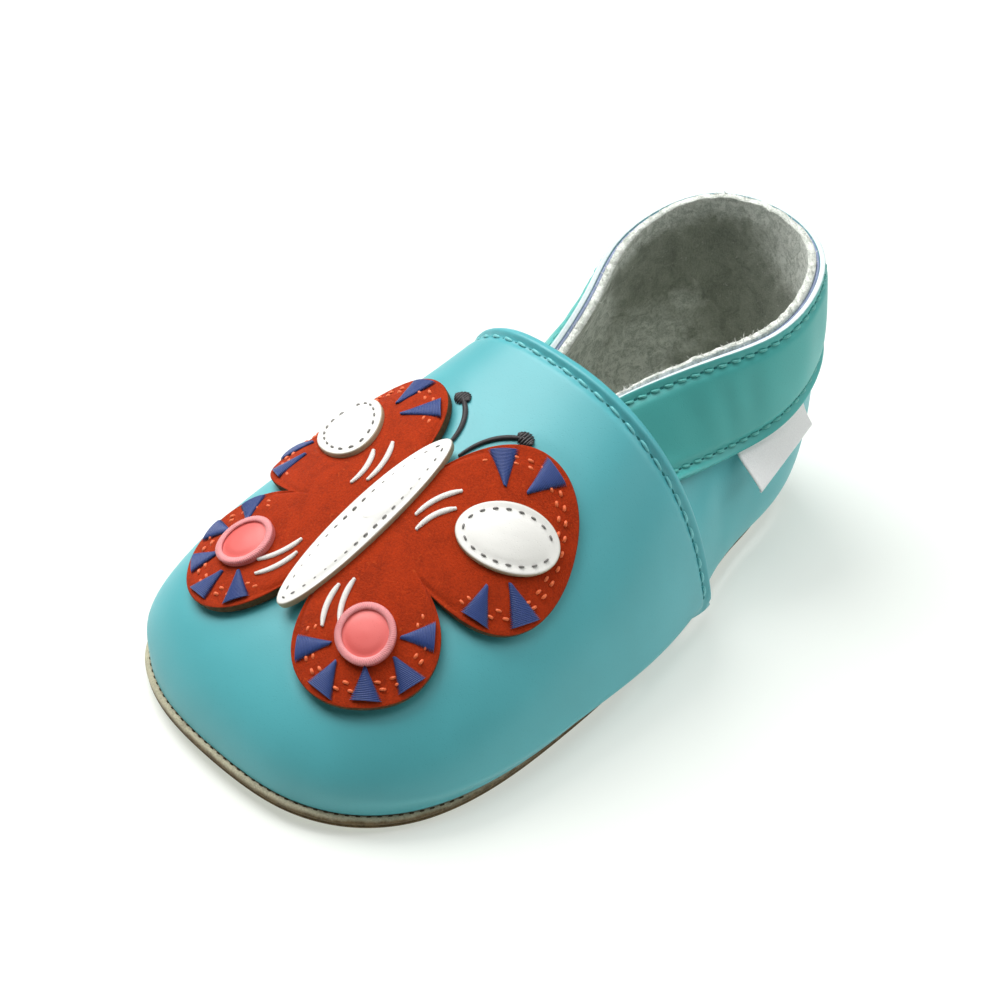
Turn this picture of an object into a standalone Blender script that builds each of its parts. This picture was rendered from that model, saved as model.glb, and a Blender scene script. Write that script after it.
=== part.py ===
"""Soft-sole baby shoe for the left foot: a turned leather slip-on with an elastic heel band.

Metres, +Z up. The toe points to -Y, the outer (lateral) side of the foot is +X, and the shoe
stands on z = 0 with the middle of its box over the origin. Sizes below are in millimetres.
A station is the distance from the tip of the sole's toe towards the heel.
"""

import math

import bmesh
import bpy
import numpy as np

MM = 0.001

# Gap between pieces that touch on the real shoe
SEAT_GAP = 0.3

# Sole: a suede bottom whose edge shows as a lip round the upper
SOLE_THICKNESS = 2.8
SOLE_EDGE_ROLL = 2.2
TOE_SPRING = 1.4
TOE_SPRING_STATION = 20.0
HEEL_SPRING = 1.0
HEEL_SPRING_STATION = 104.0
TOE_LIP = 1.0
SIDE_LIP = -0.7
LIP_FADE_STATION = 50.0

# Outline of the sole, from the toe tip by the lateral side to the heel and back by the medial side
SOLE_OUTLINE_COLUMNS = ("across", "station")
SOLE_OUTLINE = (
    (-2.5, 0.0),
    (7.5, 0.2),
    (16.5, 1.8),
    (25.2, 6.8),
    (31.4, 15.6),
    (34.2, 32.0),
    (33.0, 47.0),
    (31.0, 60.0),
    (27.2, 75.0),
    (23.0, 88.0),
    (18.6, 100.0),
    (15.4, 111.0),
    (9.7, 119.4),
    (0.0, 122.6),
    (-9.8, 119.4),
    (-15.8, 111.0),
    (-18.4, 100.0),
    (-20.8, 88.0),
    (-24.0, 74.0),
    (-28.8, 58.0),
    (-33.8, 38.0),
    (-34.0, 21.0),
    (-30.6, 10.6),
    (-22.6, 4.2),
    (-12.5, 0.9),
)

# Insole, inside the upper
INSOLE_THICKNESS = 1.5
INSOLE_INSET = 3.9

# Upper: leather and lining as one wall
WALL = 2.0

# Vamp, the front of the upper: rise of its ridge over the seam, how far its sides stand out past
# the seam, and how square its arch is (2 is an ellipse)
VAMP_COLUMNS = ("station", "rise", "stand_out", "squareness")
VAMP_SECTIONS = (
    (TOE_LIP, 0.0, 0.0, 2.10),
    (7.0, 12.6, 1.0, 2.15),
    (16.0, 19.4, 1.8, 2.20),
    (32.0, 27.2, 2.3, 2.25),
    (50.0, 34.6, 2.8, 2.30),
    (66.0, 41.0, 4.0, 2.35),
    (78.0, 46.6, 4.2, 2.40),
    (92.0, 52.8, 3.6, 2.40),
)
VAMP_EDGE_TOP = 74.4
VAMP_EDGE_FOOT = 85.8
VAMP_EDGE_POWER = 0.85
VAMP_BULGE_HEIGHT = 4.2
VAMP_CORNER_STATION = 74.0
VAMP_CORNER_SHARE = 0.8

# Quarter, the back of the upper: the collar that each rib climbs to, and how far the rib's low and
# high handles stand out of the shoe and off the rib's ends
QUARTER_FRONT = 67.0
QUARTER_INSET = 0.3
QUARTER_COLUMNS = ("around", "across", "station", "height", "low_out", "low_up", "high_out", "high_down")
QUARTER_HALF = (
    (0.000, 7.0, 72.0, 35.5, 1.6, 13.0, 10.0, 9.5),
    (0.100, 9.0, 82.5, 37.6, 4.0, 10.5, 9.4, 10.5),
    (0.205, 14.6, 97.0, 40.6, 6.2, 8.0, 5.4, 12.5),
    (0.345, 19.0, 113.0, 45.6, 7.8, 6.5, 1.2, 15.0),
    (0.425, 13.2, 123.8, 49.4, 7.2, 7.0, 0.2, 16.0),
    (0.500, 0.0, 127.8, 50.6, 7.0, 7.5, 0.0, 16.0),
)

# Where the quarter's fronts lie against the vamp's wall: how deep in it, how far round, how high
TUCK_DEPTH = 1.1
TUCK_KEPT = 0.08
TUCK_GONE = 0.22
TUCK_LOW = 12.0
TUCK_HIGH = 30.0

# Elastic casing: the band sewn round the outside of the collar
BAND_HEIGHT = 16.0
BAND_THICKNESS = 1.1
BAND_PUFF = 1.0
BAND_FRONT = 0.085
BAND_SEAM_MARGIN = 1.8

# Blank woven tag, caught in the band's lower seam on the lateral side of the heel: how far round
# the quarter it starts, and its width along that seam
TAG_FRONT = 0.2065
TAG_WIDTH = 16.0
TAG_HEIGHT = 5.8
TAG_THICKNESS = 0.7
TAG_FRONT_LIFT = 4.6
TAG_BACK_LIFT = 1.8

# Butterfly applique on the vamp: suede wings with leather pieces on them
APPLIQUE_STATION = 34.0
APPLIQUE_LIFT = 0.5
SUEDE_THICKNESS = 1.3
LEATHER_THICKNESS = 0.9
WING_COLUMNS = ("direction", "reach", "breadth")
WINGS = (
    (52.0, 35.0, 46.0),
    (132.0, 30.5, 41.0),
)
WING_ROOT = 7.0
WING_ROUNDNESS = 2.6
PATCH_COLUMNS = ("name", "across", "along", "half_length", "half_width", "turn", "material")
PATCHES = (
    ("applique_body", 0.0, 0.5, 19.0, 3.9, 90.0, "white_leather"),
    ("applique_patch_lateral", 19.0, 14.0, 8.4, 5.6, 38.0, "white_leather"),
    ("applique_patch_medial", -19.0, 14.0, 8.4, 5.6, 142.0, "white_leather"),
    ("applique_spot_lateral", 14.8, -13.0, 4.8, 4.8, 0.0, "pink_leather"),
    ("applique_spot_medial", -14.8, -13.0, 4.8, 4.8, 0.0, "pink_leather"),
)

# Fineness of the solids
OUTLINE_STEPS = 26
VAMP_ROWS = 22
VAMP_COLUMNS_ROUND = 36
QUARTER_RIB_COUNT = 44
QUARTER_ROWS = 8
BAND_RIB_COUNT = 40
TAG_RIB_COUNT = 8
MOTIF_SPOKES = 72
MOTIF_RINGS = 4
PATCH_SPOKES = 20
PATCH_RINGS = 2
SAMPLES = 400

# Colour, roughness of each finish
FINISHES = {
    "turquoise_leather": ((0.115, 0.470, 0.500), 0.42),
    "teal_leather": ((0.060, 0.315, 0.285), 0.45),
    "tan_suede": ((0.400, 0.310, 0.190), 0.95),
    "grey_suede": ((0.330, 0.330, 0.300), 0.95),
    "orange_suede": ((0.520, 0.055, 0.010), 0.92),
    "white_leather": ((0.820, 0.800, 0.740), 0.50),
    "pink_leather": ((0.720, 0.110, 0.130), 0.50),
    "white_tape": ((0.780, 0.780, 0.800), 0.80),
}


def column(table, names, name):
    """One named column of a table, as an array."""
    return np.array([row[names.index(name)] for row in table], float)


def spline(knots, values, at):
    """The natural cubic spline through (knots, values), read at the places in at."""
    gap = np.diff(knots)
    slope = np.diff(values) / gap
    last = len(knots) - 1
    system = np.eye(last + 1)
    right = np.zeros(last + 1)
    for i in range(1, last):
        system[i, i - 1 : i + 2] = gap[i - 1], 2 * (gap[i - 1] + gap[i]), gap[i]
        right[i] = 6 * (slope[i] - slope[i - 1])
    bend = np.linalg.solve(system, right)
    i = np.clip(np.searchsorted(knots, at) - 1, 0, last - 1)
    after, before = at - knots[i], knots[i + 1] - at
    curve = (bend[i] * before**3 + bend[i + 1] * after**3) / (6 * gap[i])
    start = (values[i] / gap[i] - bend[i] * gap[i] / 6) * before
    end = (values[i + 1] / gap[i] - bend[i + 1] * gap[i] / 6) * after
    return curve + start + end


def smooth(low, high, value):
    """0 below low, 1 above high, and a soft step between them."""
    share = np.clip((value - low) / (high - low), 0, 1)
    return share * share * (3 - 2 * share)


def closed_outline():
    """Close-set points along the sole's outline: a spline that runs once round its table."""
    points = np.column_stack([column(SOLE_OUTLINE, SOLE_OUTLINE_COLUMNS, c) for c in SOLE_OUTLINE_COLUMNS])
    count = len(points)
    wrapped = np.vstack([points] * 3)
    knots = np.concatenate([[0], np.cumsum(np.linalg.norm(np.diff(wrapped, axis=0), axis=1))])
    at = np.linspace(knots[count], knots[2 * count], 2 * SAMPLES, endpoint=False)
    return np.column_stack([spline(knots, wrapped[:, i], at) for i in range(2)])


def lip(station):
    """How far the sole's edge shows outside the upper."""
    return TOE_LIP + (SIDE_LIP - TOE_LIP) * smooth(0, LIP_FADE_STATION, station)


def inset_outline(inset, with_lip):
    """The outline moved in by inset, and by the lip too where that is asked."""
    points = OUTLINE
    ahead, behind = np.roll(points, -1, axis=0), np.roll(points, 1, axis=0)
    run = ahead - behind
    inward = np.column_stack([-run[:, 1], run[:, 0]]) / np.linalg.norm(run, axis=1)[:, None]
    amount = inset + (lip(points[:, 1]) if with_lip else 0)
    return points + inward * np.reshape(amount, (-1, 1))


def sides_of(points):
    """The lateral and medial halves of an outline, each from toe to heel."""
    toe, heel = np.argmin(points[:, 1]), np.argmax(points[:, 1])
    rolled = np.roll(points, -toe, axis=0)
    heel = (heel - toe) % len(points)
    lateral = rolled[: heel + 1]
    medial = np.vstack([rolled[:1], rolled[heel:][::-1]])
    return lateral, medial


def across_at(points, station):
    """Where the outline's lateral and medial sides lie at a station."""
    lateral, medial = sides_of(points)
    return (
        np.interp(station, lateral[:, 1], lateral[:, 0]),
        np.interp(station, medial[:, 1], medial[:, 0]),
    )


def spring(station):
    """How far the sole's underside lifts off the floor at the toe and the heel."""
    toe = np.clip((TOE_SPRING_STATION - station) / TOE_SPRING_STATION, 0, 1)
    heel = np.clip((station - HEEL_SPRING_STATION) / (SOLE_LENGTH - HEEL_SPRING_STATION), 0, 1)
    return TOE_SPRING * toe**2 + HEEL_SPRING * heel**2


def seam(station):
    """Height of the upper's lower edge over the floor."""
    return SOLE_THICKNESS + SEAT_GAP + spring(station)


def vamp_values(station):
    """Rise of the vamp's ridge, how far its sides stand out, and how square its arch is."""
    stations = column(VAMP_SECTIONS, VAMP_COLUMNS, "station")
    rise = np.sqrt(np.maximum(spline(stations, column(VAMP_SECTIONS, VAMP_COLUMNS, "rise") ** 2, station), 0))
    stand_out = spline(stations, column(VAMP_SECTIONS, VAMP_COLUMNS, "stand_out"), station)
    squareness = spline(stations, column(VAMP_SECTIONS, VAMP_COLUMNS, "squareness"), station)
    return rise, stand_out, squareness


def vamp_bulge(station, height, stand_out):
    """How far the vamp stands out past the seam, at a height over it."""
    at_foot = VAMP_CORNER_SHARE * smooth(VAMP_CORNER_STATION, VAMP_EDGE_FOOT, station)
    return stand_out * (at_foot + (1 - at_foot) * smooth(0, VAMP_BULGE_HEIGHT, height))


def vamp_at(station, angle):
    """A point of the vamp's outside: angle runs from 0 on the lateral seam to pi on the medial one."""
    rise, stand_out, squareness = vamp_values(station)
    lateral, medial = across_at(SEAM_OUTLINE, station)
    power = 2 / squareness
    spread = np.sign(np.cos(angle)) * np.abs(np.cos(angle)) ** power
    height = rise * np.sin(angle) ** power
    half = (lateral - medial) / 2 + vamp_bulge(station, height, stand_out)
    return np.stack([(lateral + medial) / 2 + half * spread, station, seam(station) + height], -1)


def vamp_sides(station, height):
    """Where the vamp's lateral and medial sides lie at a station and a height over the floor."""
    station = np.minimum(station, VAMP_SECTIONS[-1][0])
    rise, stand_out, squareness = vamp_values(station)
    lateral, medial = across_at(SEAM_OUTLINE, station)
    over_seam = np.clip(height - seam(station), 0, rise)
    spread = (1 - (over_seam / rise) ** squareness) ** (1 / squareness)
    half = (lateral - medial) / 2 + vamp_bulge(station, over_seam, stand_out)
    return (lateral + medial) / 2 + half * spread, (lateral + medial) / 2 - half * spread


def vamp_edge(angle):
    """Station of the vamp's rear edge, which leans back towards its feet."""
    return VAMP_EDGE_FOOT + (VAMP_EDGE_TOP - VAMP_EDGE_FOOT) * np.sin(angle) ** VAMP_EDGE_POWER


def vamp_grid(rows, columns):
    """The vamp's outside as rows from the toe to the rear edge, close together at the toe."""
    angle = np.linspace(0, math.pi, columns + 1)
    share = 1 - np.cos(np.linspace(0, math.pi / 2, rows + 1))
    tip = SEAM_OUTLINE[:, 1].min()
    station = tip + share[:, None] * (vamp_edge(angle) - tip)
    return vamp_at(station, np.broadcast_to(angle, station.shape))


def quarter_ribs():
    """The rows of the quarter's ribs, with the medial half as the mirror of the lateral one."""
    return QUARTER_HALF + tuple((1 - row[0], -row[1], *row[2:]) for row in QUARTER_HALF[-2::-1])


def quarter_at(around, up):
    """A point of the quarter's outside: around runs from the lateral front by the heel to the
    medial front, and up from the seam to the collar. Low at its fronts it lies against the vamp."""
    base, outward = quarter_base(around)
    ribs = quarter_ribs()
    knots = column(ribs, QUARTER_COLUMNS, "around")
    across, station, height, low_out, low_up, high_out, high_down = (
        spline(knots, column(ribs, QUARTER_COLUMNS, name), around) for name in QUARTER_COLUMNS[1:]
    )
    collar = np.stack([across, station, height], -1)
    upward = np.array([0, 0, 1.0])
    low_handle = base + upward * low_up[..., None] + outward * low_out[..., None]
    high_handle = collar - upward * high_down[..., None] + outward * high_out[..., None]
    v = np.asarray(up, float)[..., None]
    points = base * (1 - v) ** 3 + collar * v**3
    points = points + 3 * low_handle * v * (1 - v) ** 2 + 3 * high_handle * v**2 * (1 - v)
    lateral, medial = vamp_sides(points[..., 1], points[..., 2])
    against = np.where(around < 0.5, lateral - TUCK_DEPTH, medial + TUCK_DEPTH)
    share = 1 - smooth(TUCK_KEPT, TUCK_GONE, np.minimum(around, 1 - around))
    share = share * (1 - smooth(TUCK_LOW, TUCK_HIGH, points[..., 2]))
    points[..., 0] += share * (against - points[..., 0])
    return points


def quarter_base(around):
    """Foot of a quarter rib on the seam, and the direction that points out of the shoe there."""
    lateral, medial = sides_of(inset_outline(QUARTER_INSET, True))
    there, back = lateral[lateral[:, 1] > QUARTER_FRONT], medial[medial[:, 1] > QUARTER_FRONT]
    path = np.vstack([there, back[-2::-1]])
    length = np.concatenate([[0], np.cumsum(np.linalg.norm(np.diff(path, axis=0), axis=1))])
    at = np.asarray(around, float) * length[-1]
    across, station = (np.interp(at, length, path[:, i]) for i in range(2))
    run = np.gradient(path, length, axis=0)
    run_across, run_station = (np.interp(at, length, run[:, i]) for i in range(2))
    base = np.stack([across, station, seam(station) + SEAT_GAP], -1)
    outward = np.stack([run_station, -run_across, 0 * across], -1)
    return base, outward / np.linalg.norm(outward, axis=-1, keepdims=True)


def normals_of(surface, first, second, step=1e-3):
    """Unit normals of a surface of two parameters, by small steps along each."""
    along = surface(first + step, second) - surface(first - step, second)
    across = surface(first, second + step) - surface(first, second - step)
    normal = np.cross(along, across)
    return normal / np.linalg.norm(normal, axis=-1, keepdims=True)


def on_vamp(across, along, lift):
    """A point over the vamp: across its arch from the ridge and along the ridge from the applique's
    middle, both measured on the leather, and lift off it."""
    stations = np.linspace(TOE_LIP, VAMP_EDGE_TOP, SAMPLES)
    ridge = vamp_at(stations, np.full_like(stations, math.pi / 2))
    run = np.concatenate([[0], np.cumsum(np.linalg.norm(np.diff(ridge, axis=0), axis=1))])
    station = np.interp(np.interp(APPLIQUE_STATION, stations, run) + along, run, stations)
    angle = np.linspace(0, math.pi, SAMPLES + 1)
    found = np.empty_like(station)
    for place in np.ndindex(station.shape):
        section = vamp_at(np.full_like(angle, station[place]), angle)
        length = np.concatenate([[0], np.cumsum(np.linalg.norm(np.diff(section, axis=0), axis=1))])
        found[place] = np.interp(length[SAMPLES // 2] - across[place], length, angle)
    return vamp_at(station, found) + normals_of(vamp_at, station, found) * lift


def to_scene(points):
    """Millimetres across, along the stations and up, as metres in the part's frame."""
    return np.asarray(points, float) * MM


def new_object(name, mesh, finish, parent):
    """An object for a finished mesh, with its finish, under the shoe's empty."""
    obj = bpy.data.objects.new(name, mesh)
    bpy.context.scene.collection.objects.link(obj)
    obj.parent = parent
    mesh.materials.append(material(finish))
    mesh.shade_smooth()
    mesh.set_sharp_from_angle(angle=math.radians(50))
    return obj


def material(finish):
    """The Principled finish of that name, made once."""
    found = bpy.data.materials.get(finish)
    if found:
        return found
    colour, roughness = FINISHES[finish]
    made = bpy.data.materials.new(finish)
    made.use_nodes = True
    shader = made.node_tree.nodes["Principled BSDF"]
    shader.inputs["Base Color"].default_value = (*colour, 1)
    shader.inputs["Roughness"].default_value = roughness
    shader.inputs["Metallic"].default_value = 0
    return made


def finished(mesh_name, build):
    """The mesh of a bmesh once doubled points are merged and the faces point out."""
    bmesh.ops.remove_doubles(build, verts=build.verts, dist=1e-6)
    bmesh.ops.recalc_face_normals(build, faces=build.faces)
    mesh = bpy.data.meshes.new(mesh_name)
    build.to_mesh(mesh)
    build.free()
    return mesh


def sheet_mesh(name, grid):
    """An open sheet through a grid of points."""
    build = bmesh.new()
    rows, columns = grid.shape[:2]
    verts = [[build.verts.new(p) for p in row] for row in to_scene(grid)]
    for i in range(rows - 1):
        for j in range(columns - 1):
            build.faces.new((verts[i][j], verts[i + 1][j], verts[i + 1][j + 1], verts[i][j + 1]))
    return finished(name, build)


def skin_mesh(name, sections):
    """A closed solid skinned over closed sections, with flat ends."""
    build = bmesh.new()
    loops = [[build.verts.new(p) for p in section] for section in to_scene(sections)]
    count = len(loops[0])
    for near, far in zip(loops, loops[1:]):
        for i in range(count):
            j = (i + 1) % count
            build.faces.new((near[i], near[j], far[j], far[i]))
    for end in (loops[0], loops[-1]):
        half = count // 2
        for i in range(half - 1):
            build.faces.new((end[i], end[i + 1], end[count - 2 - i], end[count - 1 - i]))
    return finished(name, build)


def disc_mesh(name, layers):
    """A closed solid between a lower and an upper layer, each rings of points round a middle."""
    build = bmesh.new()
    low, high = ([[build.verts.new(p) for p in ring] for ring in to_scene(layer)] for layer in layers)
    count = len(low[0])
    for i in range(count):
        j = (i + 1) % count
        for layer in (low, high):
            for inner, outer in zip(layer, layer[1:]):
                build.faces.new([v for v in (inner[i], outer[i], outer[j], inner[j])])
        build.faces.new((low[-1][i], low[-1][j], high[-1][j], high[-1][i]))
    return finished(name, build)


def slab_mesh(name, rings):
    """A closed solid through rings that run from toe to heel and back, stacked from its underside."""
    build = bmesh.new()
    loops = [[build.verts.new(p) for p in ring] for ring in to_scene(rings)]
    count = len(loops[0])
    for low, high in zip(loops, loops[1:]):
        for i in range(count):
            j = (i + 1) % count
            build.faces.new((low[i], low[j], high[j], high[i]))
    for cap in (loops[0], loops[-1]):
        build.faces.new((cap[0], cap[1], cap[-1]))
        for i in range(1, count // 2 - 1):
            build.faces.new((cap[i], cap[i + 1], cap[-i - 1], cap[-i]))
        build.faces.new((cap[count // 2 - 1], cap[count // 2], cap[count // 2 + 1]))
    return finished(name, build)


def ring_of(inset, height, with_lip=False):
    """A ring of the sole's outline, moved in and set at a height over the sole's underside."""
    points = inset_outline(inset, with_lip)
    low, high = points[:, 1].min(), points[:, 1].max()
    station = low + (high - low) * (1 - np.cos(np.linspace(0, math.pi, OUTLINE_STEPS + 1))) / 2
    lateral, medial = across_at(points, station)
    there = np.column_stack([lateral, station, spring(station) + height])
    back = np.column_stack([medial, station, spring(station) + height])
    return np.vstack([there, back[-2:0:-1]])


def add_sole(parent):
    """The suede sole, with its edge rolled up from a flat tread."""
    rings = (
        ring_of(SOLE_EDGE_ROLL, 0),
        ring_of(SOLE_EDGE_ROLL * 0.35, SOLE_THICKNESS * 0.16),
        ring_of(0, SOLE_THICKNESS * 0.55),
        ring_of(SOLE_EDGE_ROLL * 0.08, SOLE_THICKNESS * 0.86),
        ring_of(SOLE_EDGE_ROLL * 0.30, SOLE_THICKNESS),
    )
    return new_object("sole", slab_mesh("sole", rings), "tan_suede", parent)


def add_insole(parent):
    """The suede insole, lying on the sole inside the upper."""
    floor = SOLE_THICKNESS + SEAT_GAP
    rings = (
        ring_of(INSOLE_INSET, floor, True),
        ring_of(INSOLE_INSET, floor + INSOLE_THICKNESS, True),
    )
    return new_object("insole", slab_mesh("insole", rings), "grey_suede", parent)


def thicken(obj):
    """Gives a sheet the wall's thickness, on its inner side."""
    wall = obj.modifiers.new("wall", "SOLIDIFY")
    wall.thickness = WALL * MM
    wall.offset = -1
    wall.use_quality_normals = True


def outward_sheet(name, grid, inside):
    """A sheet whose faces look away from a point inside the shoe."""
    mesh = sheet_mesh(name, grid)
    middle = mesh.polygons[len(mesh.polygons) // 2]
    if middle.normal.dot(middle.center - inside) < 0:
        mesh.flip_normals()
    return mesh


def add_upper(parent):
    """The upper: the vamp, and the quarter tucked into it, joined as one wall."""
    inside = bpy.data.objects["shoe"].location.copy()
    inside.y = VAMP_EDGE_TOP * MM
    inside.z = 2 * VAMP_BULGE_HEIGHT * MM
    around = np.linspace(0, 1, QUARTER_RIB_COUNT + 1)[:, None] * np.ones(QUARTER_ROWS + 1)
    up = np.linspace(0, 1, QUARTER_ROWS + 1) * np.ones((QUARTER_RIB_COUNT + 1, 1))
    quarter_mesh = outward_sheet("quarter_shell", quarter_at(around, up), inside)
    quarter = new_object("quarter_shell", quarter_mesh, "turquoise_leather", parent)
    thicken(quarter)
    quarter.hide_render = True
    quarter.display_type = "WIRE"
    vamp_mesh = outward_sheet("upper", vamp_grid(VAMP_ROWS, VAMP_COLUMNS_ROUND), inside)
    upper = new_object("upper", vamp_mesh, "turquoise_leather", parent)
    thicken(upper)
    join = upper.modifiers.new("quarter", "BOOLEAN")
    join.operation = "UNION"
    join.object = quarter
    return upper


def down_from_collar(around, drop):
    """The rib parameter that lies a measured drop below the collar."""
    up = np.linspace(0, 1, SAMPLES + 1)
    found = np.empty(np.broadcast(around, drop).shape)
    around, drop = np.broadcast_arrays(around, drop)
    for place in np.ndindex(found.shape):
        rib = quarter_at(np.full_like(up, around[place]), up)
        length = np.concatenate([[0], np.cumsum(np.linalg.norm(np.diff(rib, axis=0), axis=1))])
        found[place] = np.interp(length[-1] - drop[place], length, up)
    return found


def on_quarter(around, drop, lift):
    """A point over the quarter: a measured drop below the collar, and lift off the leather."""
    up = down_from_collar(around, drop)
    around = np.broadcast_to(around, up.shape)
    normal = normals_of(quarter_at, np.clip(around, 2e-3, 1 - 2e-3), np.clip(up, 2e-3, 1 - 2e-3))
    return quarter_at(around, up) + normal * np.reshape(lift, (-1, 1))


def add_heel_band(parent):
    """The elastic casing, puffed between its two seams."""
    drop = np.array([0.0, BAND_SEAM_MARGIN, 0.3 * BAND_HEIGHT, 0.5 * BAND_HEIGHT, 0.7 * BAND_HEIGHT])
    drop = np.concatenate([drop, [BAND_HEIGHT - BAND_SEAM_MARGIN, BAND_HEIGHT]])
    inner_lift = np.full_like(drop, SEAT_GAP)
    between = np.clip((drop - BAND_SEAM_MARGIN) / (BAND_HEIGHT - 2 * BAND_SEAM_MARGIN), 0, 1)
    outer_lift = SEAT_GAP + BAND_THICKNESS + BAND_PUFF * np.sin(math.pi * between)
    sections = []
    for around in np.linspace(BAND_FRONT, 1 - BAND_FRONT, BAND_RIB_COUNT + 1):
        inner = on_quarter(np.full_like(drop, around), drop, inner_lift)
        outer = on_quarter(np.full_like(drop, around), drop, outer_lift)
        sections.append(np.vstack([inner, outer[::-1]]))
    return new_object("heel_band", skin_mesh("heel_band", sections), "teal_leather", parent)


def tag_places(shares):
    """How far round the quarter the tag lies, at shares of its width from its front."""
    around = np.linspace(TAG_FRONT, 0.5, SAMPLES // 4)
    seam_line = on_quarter(around, np.full_like(around, BAND_HEIGHT), np.zeros_like(around))
    run = np.concatenate([[0], np.cumsum(np.linalg.norm(np.diff(seam_line, axis=0), axis=1))])
    return np.interp(TAG_WIDTH * shares, run, around)


def add_tag(parent):
    """The blank tag, hanging from the band's lower seam, its front lower corner standing off most."""
    share = np.array([0.0, 0.35, 0.7, 1.0])
    drop = BAND_HEIGHT + SEAT_GAP + TAG_HEIGHT * share
    sections = []
    places = np.linspace(0, 1, TAG_RIB_COUNT + 1)
    for place, around in zip(places, tag_places(places)):
        lift = SEAT_GAP + (TAG_FRONT_LIFT + (TAG_BACK_LIFT - TAG_FRONT_LIFT) * place) * share**1.5
        inner = on_quarter(np.full_like(drop, around), drop, lift)
        outer = on_quarter(np.full_like(drop, around), drop, lift + TAG_THICKNESS)
        sections.append(np.vstack([inner, outer[::-1]]))
    return new_object("tag", skin_mesh("tag", sections), "white_tape", parent)


def wing_reach(direction):
    """How far the wings reach in a direction, counted in degrees from the heel's side."""
    reach = np.full_like(direction, WING_ROOT)
    for middle, length, breadth in WINGS:
        aside = np.abs(np.abs(direction) - middle) / breadth
        lobe = length * np.clip(1 - aside**WING_ROUNDNESS, 0, 1) ** (1 / WING_ROUNDNESS)
        reach = np.maximum(reach, lobe)
    return reach


def motif_layers(outline, rings, lift, thickness):
    """Lower and upper layers over the vamp of a flat motif, given as points round a middle."""
    middle = outline.mean(axis=0)
    shares = np.linspace(0, 1, rings + 1)[:, None, None]
    flat = middle + (outline - middle) * shares
    return [on_vamp(flat[..., 0], flat[..., 1], height) for height in (lift, lift + thickness)]


def add_wings(parent):
    """The suede wings, cut as one piece."""
    direction = np.linspace(-180, 180, MOTIF_SPOKES, endpoint=False)
    reach = wing_reach(direction)
    outline = np.column_stack([reach * np.sin(np.radians(direction)), reach * np.cos(np.radians(direction))])
    layers = motif_layers(outline, MOTIF_RINGS, APPLIQUE_LIFT, SUEDE_THICKNESS)
    return new_object("applique_wings", disc_mesh("applique_wings", layers), "orange_suede", parent)


def add_patch(parent, name, across, along, half_length, half_width, turn, finish):
    """One leather oval sewn on the wings."""
    angle = np.linspace(0, 2 * math.pi, PATCH_SPOKES, endpoint=False)
    lengthwise, crosswise = half_length * np.cos(angle), half_width * np.sin(angle)
    cosine, sine = math.cos(math.radians(turn)), math.sin(math.radians(turn))
    outline = np.column_stack(
        [across + lengthwise * cosine - crosswise * sine, along + lengthwise * sine + crosswise * cosine]
    )
    lift = APPLIQUE_LIFT + SUEDE_THICKNESS + SEAT_GAP
    layers = motif_layers(outline, PATCH_RINGS, lift, LEATHER_THICKNESS)
    return new_object(name, disc_mesh(name, layers), finish, parent)


def centre_over_origin(shoe, pieces):
    """Moves the shoe's empty so that the middle of the pieces' box is over the origin."""
    graph = bpy.context.evaluated_depsgraph_get()
    corners = np.array([c for piece in pieces for c in piece.evaluated_get(graph).bound_box])
    middle = (corners.min(axis=0) + corners.max(axis=0)) / 2
    shoe.location = (-middle[0], -middle[1], 0)


def main():
    for obj in list(bpy.data.objects):
        bpy.data.objects.remove(obj)
    shoe = bpy.data.objects.new("shoe", None)
    bpy.context.scene.collection.objects.link(shoe)
    pieces = [add_sole(shoe), add_insole(shoe), add_upper(shoe)]
    pieces += [add_heel_band(shoe), add_tag(shoe), add_wings(shoe)]
    pieces += [add_patch(shoe, *row) for row in PATCHES]
    centre_over_origin(shoe, pieces)


OUTLINE = closed_outline()
SOLE_LENGTH = OUTLINE[:, 1].max()
SEAM_OUTLINE = inset_outline(0, True)

main()
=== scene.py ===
"""Soft-sole baby shoe for the left foot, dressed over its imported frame.

Metres, +Z up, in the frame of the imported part: the toe points to -Y and the lateral side is +X.
Sizes below are in millimetres. A station is the distance from the tip of the sole's toe towards
the heel. The shoe's surfaces come from the same functions as the part's solids, and the pieces are
sheets, rings and threads laid on them. The collar, the tag's lower edge and the insole's edge then
lie 1 or 2 mm off those of the solids.
"""

import math

import bmesh
import bpy
import numpy as np
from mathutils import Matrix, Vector


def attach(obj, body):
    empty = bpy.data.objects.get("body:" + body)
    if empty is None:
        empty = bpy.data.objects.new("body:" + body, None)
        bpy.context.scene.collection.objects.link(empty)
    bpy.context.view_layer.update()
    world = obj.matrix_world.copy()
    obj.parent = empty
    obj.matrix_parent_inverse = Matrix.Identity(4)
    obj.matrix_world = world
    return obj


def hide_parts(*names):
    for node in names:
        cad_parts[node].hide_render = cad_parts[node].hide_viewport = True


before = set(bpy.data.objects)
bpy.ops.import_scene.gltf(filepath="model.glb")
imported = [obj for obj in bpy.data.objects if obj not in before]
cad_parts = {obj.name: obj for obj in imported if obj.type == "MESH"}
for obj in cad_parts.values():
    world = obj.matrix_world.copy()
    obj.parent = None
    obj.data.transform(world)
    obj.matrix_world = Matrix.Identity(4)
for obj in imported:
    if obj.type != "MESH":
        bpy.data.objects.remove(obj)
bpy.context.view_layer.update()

MM = 0.001

# The part's frame: where the toe tip's station and the middle of the sole's table lie in it
FRAME_ACROSS = -0.01545
FRAME_STATION = -65.13724

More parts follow.
